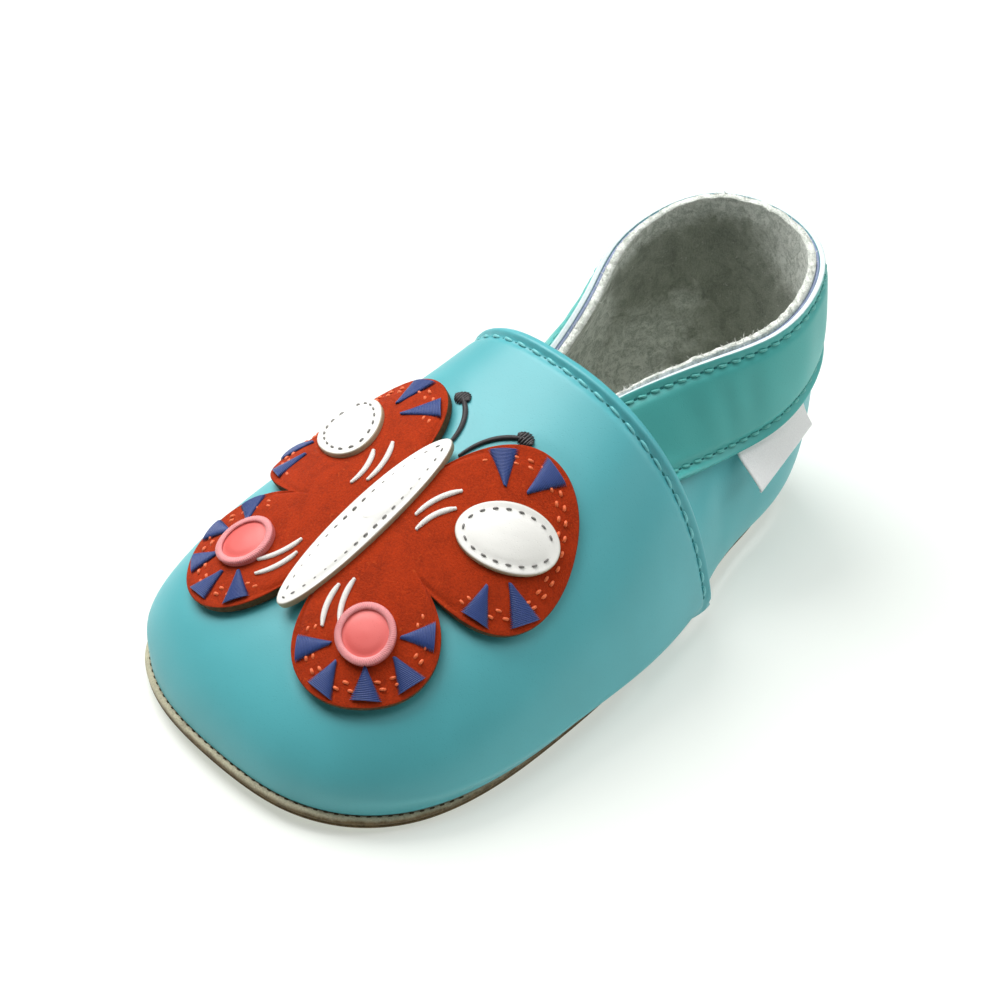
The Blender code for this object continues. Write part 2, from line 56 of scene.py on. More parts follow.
# Sizes of the part's source
SEAT_GAP = 0.3
SOLE_THICKNESS = 2.8
SOLE_EDGE_ROLL = 2.2
TOE_SPRING = 1.4
TOE_SPRING_STATION = 20.0
HEEL_SPRING = 1.0
HEEL_SPRING_STATION = 104.0
TOE_LIP = 1.0
SIDE_LIP = -0.7
LIP_FADE_STATION = 50.0
SOLE_OUTLINE_COLUMNS = ("across", "station")
SOLE_OUTLINE = (
    (-2.5, 0.0),
    (7.5, 0.2),
    (16.5, 1.8),
    (25.2, 6.8),
    (31.4, 15.6),
    (34.2, 32.0),
    (33.0, 47.0),
    (31.0, 60.0),
    (27.2, 75.0),
    (23.0, 88.0),
    (18.6, 100.0),
    (15.4, 111.0),
    (9.7, 119.4),
    (0.0, 122.6),
    (-9.8, 119.4),
    (-15.8, 111.0),
    (-18.4, 100.0),
    (-20.8, 88.0),
    (-24.0, 74.0),
    (-28.8, 58.0),
    (-33.8, 38.0),
    (-34.0, 21.0),
    (-30.6, 10.6),
    (-22.6, 4.2),
    (-12.5, 0.9),
)
INSOLE_THICKNESS = 1.5
INSOLE_INSET = 3.9
VAMP_COLUMNS = ("station", "rise", "stand_out", "squareness")
VAMP_SECTIONS = (
    (TOE_LIP, 0.0, 0.0, 2.10),
    (7.0, 12.6, 1.0, 2.15),
    (16.0, 19.4, 1.8, 2.20),
    (32.0, 27.2, 2.3, 2.25),
    (50.0, 34.6, 2.8, 2.30),
    (66.0, 41.0, 4.0, 2.35),
    (78.0, 46.6, 4.2, 2.40),
    (92.0, 52.8, 3.6, 2.40),
)
VAMP_EDGE_TOP = 74.4
VAMP_EDGE_FOOT = 85.8
VAMP_EDGE_POWER = 0.85
VAMP_BULGE_HEIGHT = 4.2
VAMP_CORNER_STATION = 74.0
VAMP_CORNER_SHARE = 0.8
QUARTER_FRONT = 67.0
QUARTER_INSET = 0.3
QUARTER_COLUMNS = ("around", "across", "station", "height", "low_out", "low_up", "high_out", "high_down")
QUARTER_HALF = (
    (0.000, 7.0, 72.0, 35.5, 1.6, 13.0, 10.0, 9.5),
    (0.100, 9.0, 82.5, 37.6, 4.0, 10.5, 9.4, 10.5),
    (0.205, 14.6, 97.0, 40.6, 6.2, 8.0, 5.4, 12.5),
    (0.345, 19.0, 113.0, 45.6, 7.8, 6.5, 1.2, 15.0),
    (0.425, 13.2, 123.8, 49.4, 7.2, 7.0, 0.2, 16.0),
    (0.500, 0.0, 127.8, 50.6, 7.0, 7.5, 0.0, 16.0),
)
TUCK_DEPTH = 1.1
TUCK_KEPT = 0.08
TUCK_GONE = 0.22
TUCK_LOW = 12.0
TUCK_HIGH = 30.0
BAND_HEIGHT = 16.0
BAND_THICKNESS = 1.1
BAND_FRONT = 0.085
TAG_FRONT = 0.2065
TAG_WIDTH = 16.0
TAG_HEIGHT = 5.8
TAG_FRONT_LIFT = 4.6
APPLIQUE_STATION = 34.0
APPLIQUE_LIFT = 0.5
SUEDE_THICKNESS = 1.3
LEATHER_THICKNESS = 0.9

# Wings: direction of the middle in degrees from the heel's side, length, half breadth in degrees
WINGS = (
    (52.0, 35.0, 46.0),
    (132.0, 30.5, 41.0),
)
WING_ROOT = 7.0
WING_ROUNDNESS = 2.6

# Leather ovals: node, middle across and along, half length, half width, turn in degrees
PATCHES = (
    ("applique_body", 0.0, 0.5, 19.0, 3.9, 90.0),
    ("applique_patch_lateral", 19.0, 14.0, 8.4, 5.6, 38.0),
    ("applique_patch_medial", -19.0, 14.0, 8.4, 5.6, 142.0),
    ("applique_spot_lateral", 14.8, -13.0, 4.8, 4.8, 0.0),
    ("applique_spot_medial", -14.8, -13.0, 4.8, 4.8, 0.0),
)

# Leather and lining: the two layers of the upper's wall
LEATHER = 1.1
LINING = 0.85
LAYER_GAP = 0.05
QUARTER_LEATHER = 0.55
QUARTER_LINING = 1.35
RIM_STEP = 0.3

# The vamp's lining stays clear of the seam: an angle at the sides, and a distance at the toe
LINING_CLEAR = 0.13
LINING_TOE_GAP = 3.0
LINING_SHORT = 1.2

# Vamp's rear edge: where its stitches run, how they press the leather in, and the lip outside them
EDGE_STITCH = 2.45
EDGE_GROOVE = 0.5
EDGE_GROOVE_SHARE = 0.85
EDGE_GROOVE_WIDTH = 0.8
EDGE_LIP = 0.4
EDGE_LIP_PLACE = 1.4
EDGE_LIP_WIDTH = 0.65
EDGE_ROUND = 1.05
EDGE_CORNER = 0.06

# Stitches: the pitch of each kind of row, and how far its threads rise off the leather
VAMP_PITCH = 3.65
VAMP_RISE = 0.4
BAND_PITCH = 2.45
BAND_RISE = 0.36
SEAM_PITCH = 1.7
SEAM_RISE = 0.05
WING_PITCH = 2.5
WING_RISE = 0.42
PATCH_PITCH = 2.1
PATCH_RISE = 0.3

# One stitch: its share of the pitch, its slant, how deep its ends lie, and the threads' radii
STITCH_SHARE = 0.74
STITCH_SLANT = 0.16
STITCH_SINK = 0.12
THREAD_RADIUS = 0.27
SEAM_THREAD = 0.15
PATCH_THREAD = 0.18

# Needle holes, dark sunk threads of painted shade: lengths, radius and depth
VAMP_HOLE = 1.4
BAND_HOLE = 1.0
HOLE_RADIUS = 0.36
HOLE_SINK = 0.1

# Tag: its back end stands off less and hangs less, and its back layer is set in at the front end
TAG_BACK_LIFT = 2.0
TAG_BACK_SHORT = 0.25
TAG_LAYER_INSET = 0.09
TAG_SEAT = 0.35
TAG_OPENING = 1.3
TAG_CAUGHT = 1.2
TAPE_THICKNESS = 0.26

# The tag's tape, from the top of its outer layer by the fold to the top of its back layer
TAG_FOLD = 0.5
TAG_SECTION_COLUMNS = ("share", "drop", "lift")
TAG_SECTION = (
    (0.00, -TAG_CAUGHT, 0.62),
    (0.08, 0.0, 0.62),
    (0.45, TAG_HEIGHT - 0.35, 0.66),
    (0.49, TAG_HEIGHT, 0.48),
    (0.51, TAG_HEIGHT, 0.24),
    (0.55, TAG_HEIGHT - 0.35, 0.06),
    (0.92, 0.0, 0.0),
    (1.00, -TAG_CAUGHT, 0.0),
)

# Heel band: its reach under the vamp, puff, ripples, lower bead and thin top, and its seams as drops
BAND_TUCK = 0.08
BAND_PUFF = 0.4
BAND_RIPPLE = 0.10
BAND_RIPPLE_CLOSE = 118
BAND_RIPPLE_SWAY = 1.3
BAND_RIPPLE_SWAY_CLOSE = 31
BAND_BEAD = 0.25
BAND_BEAD_UP = 0.5
BAND_BEAD_WIDTH = 0.6
BAND_TOP_THIN = 0.4
BAND_TOP_STITCH = 1.6
BAND_LOW_STITCH = 14.2
BAND_GROOVE = 0.5
BAND_GROOVE_WIDTH = 0.8

# Collar: how far it stands over the part's solid at places round the quarter, fading down the band
COLLAR_PLACES = np.array((0.0, 0.10, 0.22, 0.34, 0.42, 0.50, 0.58, 0.70, 0.85, 1.0))
COLLAR_LIFTS = np.array((1.3, 1.7, 1.9, 1.4, 1.1, 1.1, 0.9, 0.6, 0.3, 0.2))
COLLAR_REACH = 14.0

# Applique: how the leather dips round it, and its stitches
APPLIQUE_DIP = 0.3
APPLIQUE_DIP_WIDTH = 1.8
WING_STITCH = 2.4

# Camera, from the fit to the photograph
CAMERA_TARGET = (0.0, 62.5, 22.0)
CAMERA_TURN = 47.8326
CAMERA_RISE = 38.6935
CAMERA_DISTANCE = 435.798
CAMERA_LENS = 93.6
CAMERA_SENSOR = 36.0

# A place inside the shoe, which the faces of its pieces point away from
SHOE_MIDDLE = (0, 62, 12)

# Points along a measured line, and along the wings' line of stitches
SAMPLES = 400
WING_LINE_POINTS = 1800

# Cells of the pieces' grids, or points round their outlines
VAMP_CELLS = 168
QUARTER_CELLS = (170, 44)
LINING_CELLS = (260, 64)
BAND_CELLS = (110, 190)
SOLE_CELLS = 360
INSOLE_CELLS = 160
TAG_CELLS = (38, 52)
WING_POINTS = 420
PATCH_POINTS = 96

SIDES = ((1, "lateral"), (-1, "medial"))


def column(table, names, name):
    """One named column of a table, as an array."""
    return np.array([row[names.index(name)] for row in table], float)


def spline(knots, values, at):
    """The natural cubic spline through (knots, values), read at the places in at."""
    gap = np.diff(knots)
    slope = np.diff(values) / gap
    last = len(knots) - 1
    system = np.eye(last + 1)
    right = np.zeros(last + 1)
    for i in range(1, last):
        system[i, i - 1 : i + 2] = gap[i - 1], 2 * (gap[i - 1] + gap[i]), gap[i]
        right[i] = 6 * (slope[i] - slope[i - 1])
    bend = np.linalg.solve(system, right)
    i = np.clip(np.searchsorted(knots, at) - 1, 0, last - 1)
    after, before = at - knots[i], knots[i + 1] - at
    curve = (bend[i] * before**3 + bend[i + 1] * after**3) / (6 * gap[i])
    start = (values[i] / gap[i] - bend[i] * gap[i] / 6) * before
    end = (values[i + 1] / gap[i] - bend[i + 1] * gap[i] / 6) * after
    return curve + start + end


def smooth(low, high, value):
    """0 below low, 1 above high, and a soft step between them."""
    share = np.clip((value - low) / (high - low), 0, 1)
    return share * share * (3 - 2 * share)


def bell(value, middle, width):
    """1 at the middle, falling softly to 0 on both sides."""
    return np.exp(-(((value - middle) / width) ** 2))


def run_length(points):
    """Distance along a line of points, from its start."""
    steps = np.linalg.norm(np.diff(points, axis=-2), axis=-1)
    start = np.zeros(steps.shape[:-1] + (1,))
    return np.concatenate([start, np.cumsum(steps, axis=-1)], axis=-1)


def unit(vectors):
    """Vectors of length 1."""
    return vectors / np.maximum(np.linalg.norm(vectors, axis=-1, keepdims=True), 1e-12)


def read_table(table, rows, columns, at_row, at_column):
    """A table's value between its rows and columns, which stand at even steps."""
    i = np.clip((at_row - rows[0]) / (rows[1] - rows[0]), 0, len(rows) - 1.001)
    j = np.clip((at_column - columns[0]) / (columns[1] - columns[0]), 0, len(columns) - 1.001)
    row, col = i.astype(int), j.astype(int)
    i, j = i - row, j - col
    near = table[row, col] * (1 - j) + table[row, col + 1] * j
    far = table[row + 1, col] * (1 - j) + table[row + 1, col + 1] * j
    return near * (1 - i) + far * i


def closed_outline():
    """Close-set points along the sole's outline: a spline that runs once round its table."""
    points = np.column_stack([column(SOLE_OUTLINE, SOLE_OUTLINE_COLUMNS, c) for c in SOLE_OUTLINE_COLUMNS])
    count = len(points)
    wrapped = np.vstack([points] * 3)
    knots = run_length(wrapped)
    at = np.linspace(knots[count], knots[2 * count], 2 * SAMPLES, endpoint=False)
    return np.column_stack([spline(knots, wrapped[:, i], at) for i in range(2)])


def lip(station):
    """How far the sole's edge shows outside the upper."""
    return TOE_LIP + (SIDE_LIP - TOE_LIP) * smooth(0, LIP_FADE_STATION, station)


def inset_outline(inset, with_lip):
    """The outline moved in by inset, and by the lip too where that is asked."""
    points = OUTLINE
    ahead, behind = np.roll(points, -1, axis=0), np.roll(points, 1, axis=0)
    run = ahead - behind
    inward = np.column_stack([-run[:, 1], run[:, 0]]) / np.linalg.norm(run, axis=1)[:, None]
    amount = inset + (lip(points[:, 1]) if with_lip else 0)
    return points + inward * np.reshape(amount, (-1, 1))


def sides_of(points):
    """The lateral and medial halves of an outline, each from toe to heel."""
    toe, heel = np.argmin(points[:, 1]), np.argmax(points[:, 1])
    rolled = np.roll(points, -toe, axis=0)
    heel = (heel - toe) % len(points)
    lateral = rolled[: heel + 1]
    medial = np.vstack([rolled[:1], rolled[heel:][::-1]])
    return lateral, medial


def across_at(points, station):
    """Where the outline's lateral and medial sides lie at a station."""
    lateral, medial = sides_of(points)
    return (
        np.interp(station, lateral[:, 1], lateral[:, 0]),
        np.interp(station, medial[:, 1], medial[:, 0]),
    )


def spring(station):
    """How far the sole's underside lifts off the floor at the toe and the heel."""
    toe = np.clip((TOE_SPRING_STATION - station) / TOE_SPRING_STATION, 0, 1)
    heel = np.clip((station - HEEL_SPRING_STATION) / (SOLE_LENGTH - HEEL_SPRING_STATION), 0, 1)
    return TOE_SPRING * toe**2 + HEEL_SPRING * heel**2


def seam(station):
    """Height of the upper's lower edge over the floor."""
    return SOLE_THICKNESS + SEAT_GAP + spring(station)


def vamp_values(station):
    """Rise of the vamp's ridge, how far its sides stand out, and how square its arch is."""
    stations = column(VAMP_SECTIONS, VAMP_COLUMNS, "station")
    squared_rise = spline(stations, column(VAMP_SECTIONS, VAMP_COLUMNS, "rise") ** 2, station)
    stand_out = spline(stations, column(VAMP_SECTIONS, VAMP_COLUMNS, "stand_out"), station)
    squareness = spline(stations, column(VAMP_SECTIONS, VAMP_COLUMNS, "squareness"), station)
    return np.sqrt(np.maximum(squared_rise, 0)), stand_out, squareness


def vamp_bulge(station, height, stand_out):
    """How far the vamp stands out past the seam, at a height over it."""
    at_foot = VAMP_CORNER_SHARE * smooth(VAMP_CORNER_STATION, VAMP_EDGE_FOOT, station)
    return stand_out * (at_foot + (1 - at_foot) * smooth(0, VAMP_BULGE_HEIGHT, height))


def vamp_at(station, angle):
    """A point of the vamp's outside: angle runs from 0 on the lateral seam to pi on the medial one."""
    rise, stand_out, squareness = vamp_values(station)
    lateral, medial = across_at(SEAM_OUTLINE, station)
    power = 2 / squareness
    spread = np.sign(np.cos(angle)) * np.abs(np.cos(angle)) ** power
    height = rise * np.abs(np.sin(angle)) ** power
    half = (lateral - medial) / 2 + vamp_bulge(station, height, stand_out)
    return np.stack([(lateral + medial) / 2 + half * spread, station, seam(station) + height], -1)


def vamp_sides(station, height):
    """Where the vamp's lateral and medial sides lie at a station and a height over the floor."""
    station = np.minimum(station, VAMP_SECTIONS[-1][0])
    rise, stand_out, squareness = vamp_values(station)
    lateral, medial = across_at(SEAM_OUTLINE, station)
    over_seam = np.clip(height - seam(station), 0, rise)
    spread = (1 - (over_seam / rise) ** squareness) ** (1 / squareness)
    half = (lateral - medial) / 2 + vamp_bulge(station, over_seam, stand_out)
    return (lateral + medial) / 2 + half * spread, (lateral + medial) / 2 - half * spread


def vamp_edge(angle):
    """Station of the vamp's rear edge, which leans back towards its feet."""
    return VAMP_EDGE_FOOT + (VAMP_EDGE_TOP - VAMP_EDGE_FOOT) * np.abs(np.sin(angle)) ** VAMP_EDGE_POWER


def quarter_ribs():
    """The rows of the quarter's ribs, with the medial half as the mirror of the lateral one."""
    return QUARTER_HALF + tuple((1 - row[0], -row[1], *row[2:]) for row in QUARTER_HALF[-2::-1])


def quarter_base(around):
    """Foot of a quarter rib on the seam, and the direction that points out of the shoe there."""
    lateral, medial = sides_of(inset_outline(QUARTER_INSET, True))
    there, back = lateral[lateral[:, 1] > QUARTER_FRONT], medial[medial[:, 1] > QUARTER_FRONT]
    path = np.vstack([there, back[-2::-1]])
    length = run_length(path)
    at = np.asarray(around, float) * length[-1]
    across, station = (np.interp(at, length, path[:, i]) for i in range(2))
    run = np.gradient(path, length, axis=0)
    run_across, run_station = (np.interp(at, length, run[:, i]) for i in range(2))
    base = np.stack([across, station, seam(station) + SEAT_GAP], -1)
    outward = np.stack([run_station, -run_across, 0 * across], -1)
    return base, unit(outward)


def quarter_at(around, up):
    """A point of the quarter's outside: around runs from the lateral front by the heel to the
    medial front, and up from the seam to the collar. Low at its fronts it lies against the vamp."""
    base, outward = quarter_base(around)
    ribs = quarter_ribs()
    knots = column(ribs, QUARTER_COLUMNS, "around")
    across, station, height, low_out, low_up, high_out, high_down = (
        spline(knots, column(ribs, QUARTER_COLUMNS, name), around) for name in QUARTER_COLUMNS[1:]
    )
    collar = np.stack([across, station, height], -1)
    upward = np.array([0, 0, 1.0])
    low_handle = base + upward * low_up[..., None] + outward * low_out[..., None]
    high_handle = collar - upward * high_down[..., None] + outward * high_out[..., None]
    v = np.asarray(up, float)[..., None]
    points = base * (1 - v) ** 3 + collar * v**3
    points = points + 3 * low_handle * v * (1 - v) ** 2 + 3 * high_handle * v**2 * (1 - v)
    lateral, medial = vamp_sides(points[..., 1], points[..., 2])
    against = np.where(around < 0.5, lateral - TUCK_DEPTH, medial + TUCK_DEPTH)
    share = 1 - smooth(TUCK_KEPT, TUCK_GONE, np.minimum(around, 1 - around))
    share = share * (1 - smooth(TUCK_LOW, TUCK_HIGH, points[..., 2]))
    points[..., 0] += share * (against - points[..., 0])
    return points


def normals_of(surface, first, second, step=1e-3):
    """Unit normals of a surface of two parameters, by small steps along each."""
    along = surface(first + step, second) - surface(first - step, second)
    across = surface(first, second + step) - surface(first, second - step)
    return unit(np.cross(along, across))


OUTLINE = closed_outline()
SOLE_LENGTH = OUTLINE[:, 1].max()
SEAM_OUTLINE = inset_outline(0, True)
TOE_TIP = SEAM_OUTLINE[:, 1].min()

# Tables that measure the vamp's leather: along its ridge and across its arch
VAMP_STATIONS = np.linspace(TOE_TIP + 0.1, VAMP_SECTIONS[-1][0], 240)
VAMP_ANGLES = np.linspace(0, math.pi, 241)
VAMP_ACROSS = np.linspace(-80, 80, 641)


def vamp_tables():
    """Measured distance across the arch at each station and angle, the angle at each distance, and
    the measured distance along the ridge from the applique's middle."""
    arches = vamp_at(*np.meshgrid(VAMP_STATIONS, VAMP_ANGLES, indexing="ij"))
    length = run_length(arches)
    across = length[:, len(VAMP_ANGLES) // 2, None] - length
    angle = np.array([np.interp(VAMP_ACROSS, row[::-1], VAMP_ANGLES[::-1]) for row in across])
    ridge = run_length(arches[:, len(VAMP_ANGLES) // 2])
    return across, angle, ridge - np.interp(APPLIQUE_STATION, VAMP_STATIONS, ridge)


ARCH_ACROSS, ARCH_ANGLE, RIDGE_ALONG = vamp_tables()


def on_vamp(across, along, lift):
    """A point over the vamp: across its arch from the ridge and along the ridge from the applique's
    middle, both measured on the leather, and lift off it."""
    station = np.interp(along, RIDGE_ALONG, VAMP_STATIONS)
    angle = read_table(ARCH_ANGLE, VAMP_STATIONS, VAMP_ACROSS, station, across)
    return vamp_at(station, angle) + normals_of(vamp_at, station, angle) * np.asarray(lift)[..., None]


def vamp_normals(station, angle):
    """The vamp's outward normals, taken a little inside the ends of its table."""
    return normals_of(
        vamp_at, np.maximum(station, TOE_TIP + 0.4), np.clip(angle, EDGE_CORNER, math.pi - EDGE_CORNER)
    )


def inside_edge(angle, inside):
    """Station and angle of the places that lie a distance inside the vamp's rear edge, and how much
    distance from the edge one step of station makes."""
    step = 1e-3
    edge = vamp_edge(angle)
    lean = (vamp_edge(angle + step) - vamp_edge(angle - step)) / (2 * step)
    along = (vamp_at(edge + step, angle) - vamp_at(edge - step, angle)) / (2 * step)
    about = (vamp_at(edge, angle + step) - vamp_at(edge, angle - step)) / (2 * step)
    run = along * lean[:, None] + about
    share = (along * run).sum(-1) / (run * run).sum(-1)
    square = np.linalg.norm(along - share[:, None] * run, axis=-1)
    move = inside / square
    return edge - move * (1 - share * lean), angle + move * share, square


EDGE_ANGLES = np.linspace(EDGE_CORNER, math.pi - EDGE_CORNER, SAMPLES)
EDGE_LINE_STATION, EDGE_LINE_ANGLE, EDGE_SQUARE = inside_edge(EDGE_ANGLES, EDGE_STITCH)
EDGE_LINE = vamp_at(EDGE_LINE_STATION, EDGE_LINE_ANGLE)
EDGE_LINE_RUN = run_length(EDGE_LINE)


def wing_reach(direction):
    """How far the wings reach in a direction, counted in degrees from the heel's side."""
    reach = np.full_like(direction, WING_ROOT)
    for middle, length, breadth in WINGS:
        aside = np.abs(np.abs(direction) - middle) / breadth
        lobe = length * np.clip(1 - aside**WING_ROUNDNESS, 0, 1) ** (1 / WING_ROUNDNESS)
        reach = np.maximum(reach, lobe)
    return reach


def vamp_relief(station, angle):
    """How far the vamp's leather lies over or under its plain surface: the stitched rear edge, and
    the dip round the applique."""
    square = np.interp(angle, EDGE_ANGLES, EDGE_SQUARE)
    inside = (vamp_edge(angle) - station) * square
    phase = np.cos(2 * math.pi * np.interp(angle, EDGE_LINE_ANGLE, EDGE_LINE_RUN) / VAMP_PITCH)
    depth = EDGE_GROOVE * (EDGE_GROOVE_SHARE + (1 - EDGE_GROOVE_SHARE) * phase)
    groove = -depth * bell(inside, EDGE_STITCH, EDGE_GROOVE_WIDTH)
    raised = EDGE_LIP * bell(inside, EDGE_LIP_PLACE, EDGE_LIP_WIDTH)
    corner = np.clip(EDGE_ROUND - inside, 0, EDGE_ROUND)
    rounded = -(EDGE_ROUND - np.sqrt(EDGE_ROUND**2 - corner**2))
    along = np.interp(station, VAMP_STATIONS, RIDGE_ALONG)
    across = read_table(ARCH_ACROSS, VAMP_STATIONS, VAMP_ANGLES, station, angle)
    outside = np.hypot(across, along) - wing_reach(np.degrees(np.arctan2(across, along)))
    dip = -APPLIQUE_DIP * np.where(outside > 0, bell(outside, 0, APPLIQUE_DIP_WIDTH), 1)
    return groove + raised + rounded + dip


# Tables that measure the quarter's leather down from the collar
QUARTER_AROUND = np.linspace(0, 1, 241)
QUARTER_DROP = np.linspace(0, 60, 301)
RIB_STEPS = np.linspace(0, 1, 161)


def quarter_table():
    """The rib parameter at each measured drop below the collar."""
    ribs = quarter_at(*np.meshgrid(QUARTER_AROUND, RIB_STEPS, indexing="ij"))
    lengths = run_length(ribs)
    return np.array([np.interp(length[-1] - QUARTER_DROP, length, RIB_STEPS) for length in lengths])


RIB_UP = quarter_table()


def on_quarter(around, drop, lift):
    """A point over the quarter: a measured drop below the collar, and lift off the leather. A drop
    under 0 stands over the collar."""
    up = read_table(RIB_UP, QUARTER_AROUND, QUARTER_DROP, around, np.maximum(drop, 0))
    inner_around, inner_up = np.clip(around, 2e-3, 1 - 2e-3), np.clip(up, 2e-3, 1 - 2e-3)
    normal = normals_of(quarter_at, inner_around, inner_up)
    climb = unit(quarter_at(inner_around, inner_up + 1e-3) - quarter_at(inner_around, inner_up - 1e-3))
    over = np.maximum(-drop, 0)
    points = quarter_at(around, up) + normal * np.asarray(lift)[..., None] + climb * over[..., None]
    points[..., 2] += spline(COLLAR_PLACES, COLLAR_LIFTS, around) * smooth(COLLAR_REACH, 1, drop)
    return points


def to_scene(points):
    """Millimetres across, along the stations and up, as metres in the part's frame."""
    return (np.asarray(points, float) + (FRAME_ACROSS, FRAME_STATION, 0)) * MM


def finished(name, build, finish, stands_for=(), sharp=60):
    """A piece from a bmesh: doubled points merged, faces pointing out, smooth, and riding on the shoe.
    It has a finish by name, and it takes the place of the solids that it stands for."""
    bmesh.ops.remove_doubles(build, verts=build.verts, dist=1e-6)
    bmesh.ops.recalc_face_normals(build, faces=build.faces)
    middle = Vector(to_scene(SHOE_MIDDLE))
    outward = sum(f.normal.dot(f.calc_center_median() - middle) * f.calc_area() for f in build.faces)
    if outward < 0:
        bmesh.ops.reverse_faces(build, faces=build.faces)
    mesh = bpy.data.meshes.new(name)
    build.to_mesh(mesh)
    build.free()
    mesh.shade_smooth()
    mesh.set_sharp_from_angle(angle=math.radians(sharp))
    mesh.materials.append(FINISHES[finish])
    piece = bpy.data.objects.new(name, mesh)
    bpy.context.scene.collection.objects.link(piece)
    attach(piece, "root")
    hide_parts(*stands_for)
    return piece


def placed_grid(cells, place):
    """A bmesh grid whose points are put by place(u, v), which also gives marks: numbers that each
    point carries for the finish."""
    build = bmesh.new()
    bmesh.ops.create_grid(build, x_segments=cells[0], y_segments=cells[1], size=1)
    flat = np.array([vert.co[:2] for vert in build.verts]) / 2 + 0.5
    points, marks = place(flat[:, 0], flat[:, 1])
    for vert, point in zip(build.verts, to_scene(points)):
        vert.co = point
    for name, values in marks.items():
        layer = build.verts.layers.float.new(name)
        for vert, value in zip(build.verts, values):
            vert[layer] = value
    return build


def thickened(piece, thickness, offset=-1):
    """Gives a sheet its thickness: on the inner side, or with an offset of 0 on both."""
    wall = piece.modifiers.new("wall", "SOLIDIFY")
    wall.thickness = thickness * MM
    wall.offset = offset
    wall.use_quality_normals = True


def threads(name, paths, normals, radius, finish, sides=6, flatten=1.0):
    """Many short threads as one mesh: each follows its own path and draws in to a point at its ends."""
    steps = paths.shape[1]
    tangent = unit(np.gradient(paths, axis=1))
    across = unit(np.cross(tangent, normals))
    upward = np.cross(across, tangent)
    turn = np.linspace(0, 2 * math.pi, sides + 1)
    ring = across[:, :, None] * np.cos(turn)[:, None] + flatten * upward[:, :, None] * np.sin(turn)[:, None]
    share = np.linspace(-1, 1, steps)
    swell = radius * np.sqrt(1 - share**4)
    points = to_scene(paths[:, :, None] + ring * swell[None, :, None, None])
    build = bmesh.new()
    order = None
    for strand in points:
        made = bmesh.ops.create_grid(build, x_segments=sides, y_segments=steps - 1, size=1)["verts"]
        if order is None:
            flat = np.array([vert.co[:2] for vert in made]) / 2 + 0.5
            order = np.rint(flat * (sides, steps - 1)).astype(int)
        for vert, (side, step) in zip(made, order):
            vert.co = strand[step, side]
    finished(name, build, finish)


def along_line(points, normals, at):
    """Points and normals of a line, read at distances along it."""
    length = run_length(points)
    place = np.stack([np.interp(at, length, points[:, i]) for i in range(3)], -1)
    normal = np.stack([np.interp(at, length, normals[:, i]) for i in range(3)], -1)
    return place, unit(normal)


def stitch_paths(points, normals, pitch, rise, share=STITCH_SHARE, slant=STITCH_SLANT):
    """Paths of a row of stitches on a seam: each comes out of one hole and dips into the next."""
    length = run_length(points)[-1]
    count = int(length / pitch)
    start = (length - count * pitch) / 2
    step = np.linspace(-0.5, 0.5, 7)
    at = start + (np.arange(count)[:, None] + 0.5 + step * share) * pitch
    place, normal = along_line(points, normals, at)
    side = unit(np.cross(np.gradient(place, axis=1), normal))
    lift = rise * np.cos(math.pi * step) ** 0.7 - STITCH_SINK
    return place + normal * lift[:, None] + side * (slant * 2 * step)[:, None], normal


def hole_paths(points, normals, pitch, length):
    """Short paths over the needle holes between the stitches of a seam."""
    total = run_length(points)[-1]
    count = int(total / pitch)
    start = (total - count * pitch) / 2
    at = start + (np.arange(count + 1)[:, None] + np.linspace(-0.5, 0.5, 5) * length / pitch) * pitch
    at = np.clip(at, 0, total)
    place, normal = along_line(points, normals, at)
    return place - normal * HOLE_SINK, normal


class Value:
    """A number that changes over a surface: a shader socket that takes part in sums."""

    def __init__(self, finish, socket):
        self.finish = finish
        self.socket = socket

    def math(self, operation, *values):
        return self.finish.node("Math", {"operation": operation}, dict(enumerate(values)))

    def __add__(self, other):
        return self.math("ADD", self, other)

    def __radd__(self, other):
        return self.math("ADD", other, self)

    def __mul__(self, other):
        return self.math("MULTIPLY", self, other)

    def __rmul__(self, other):
        return self.math("MULTIPLY", other, self)


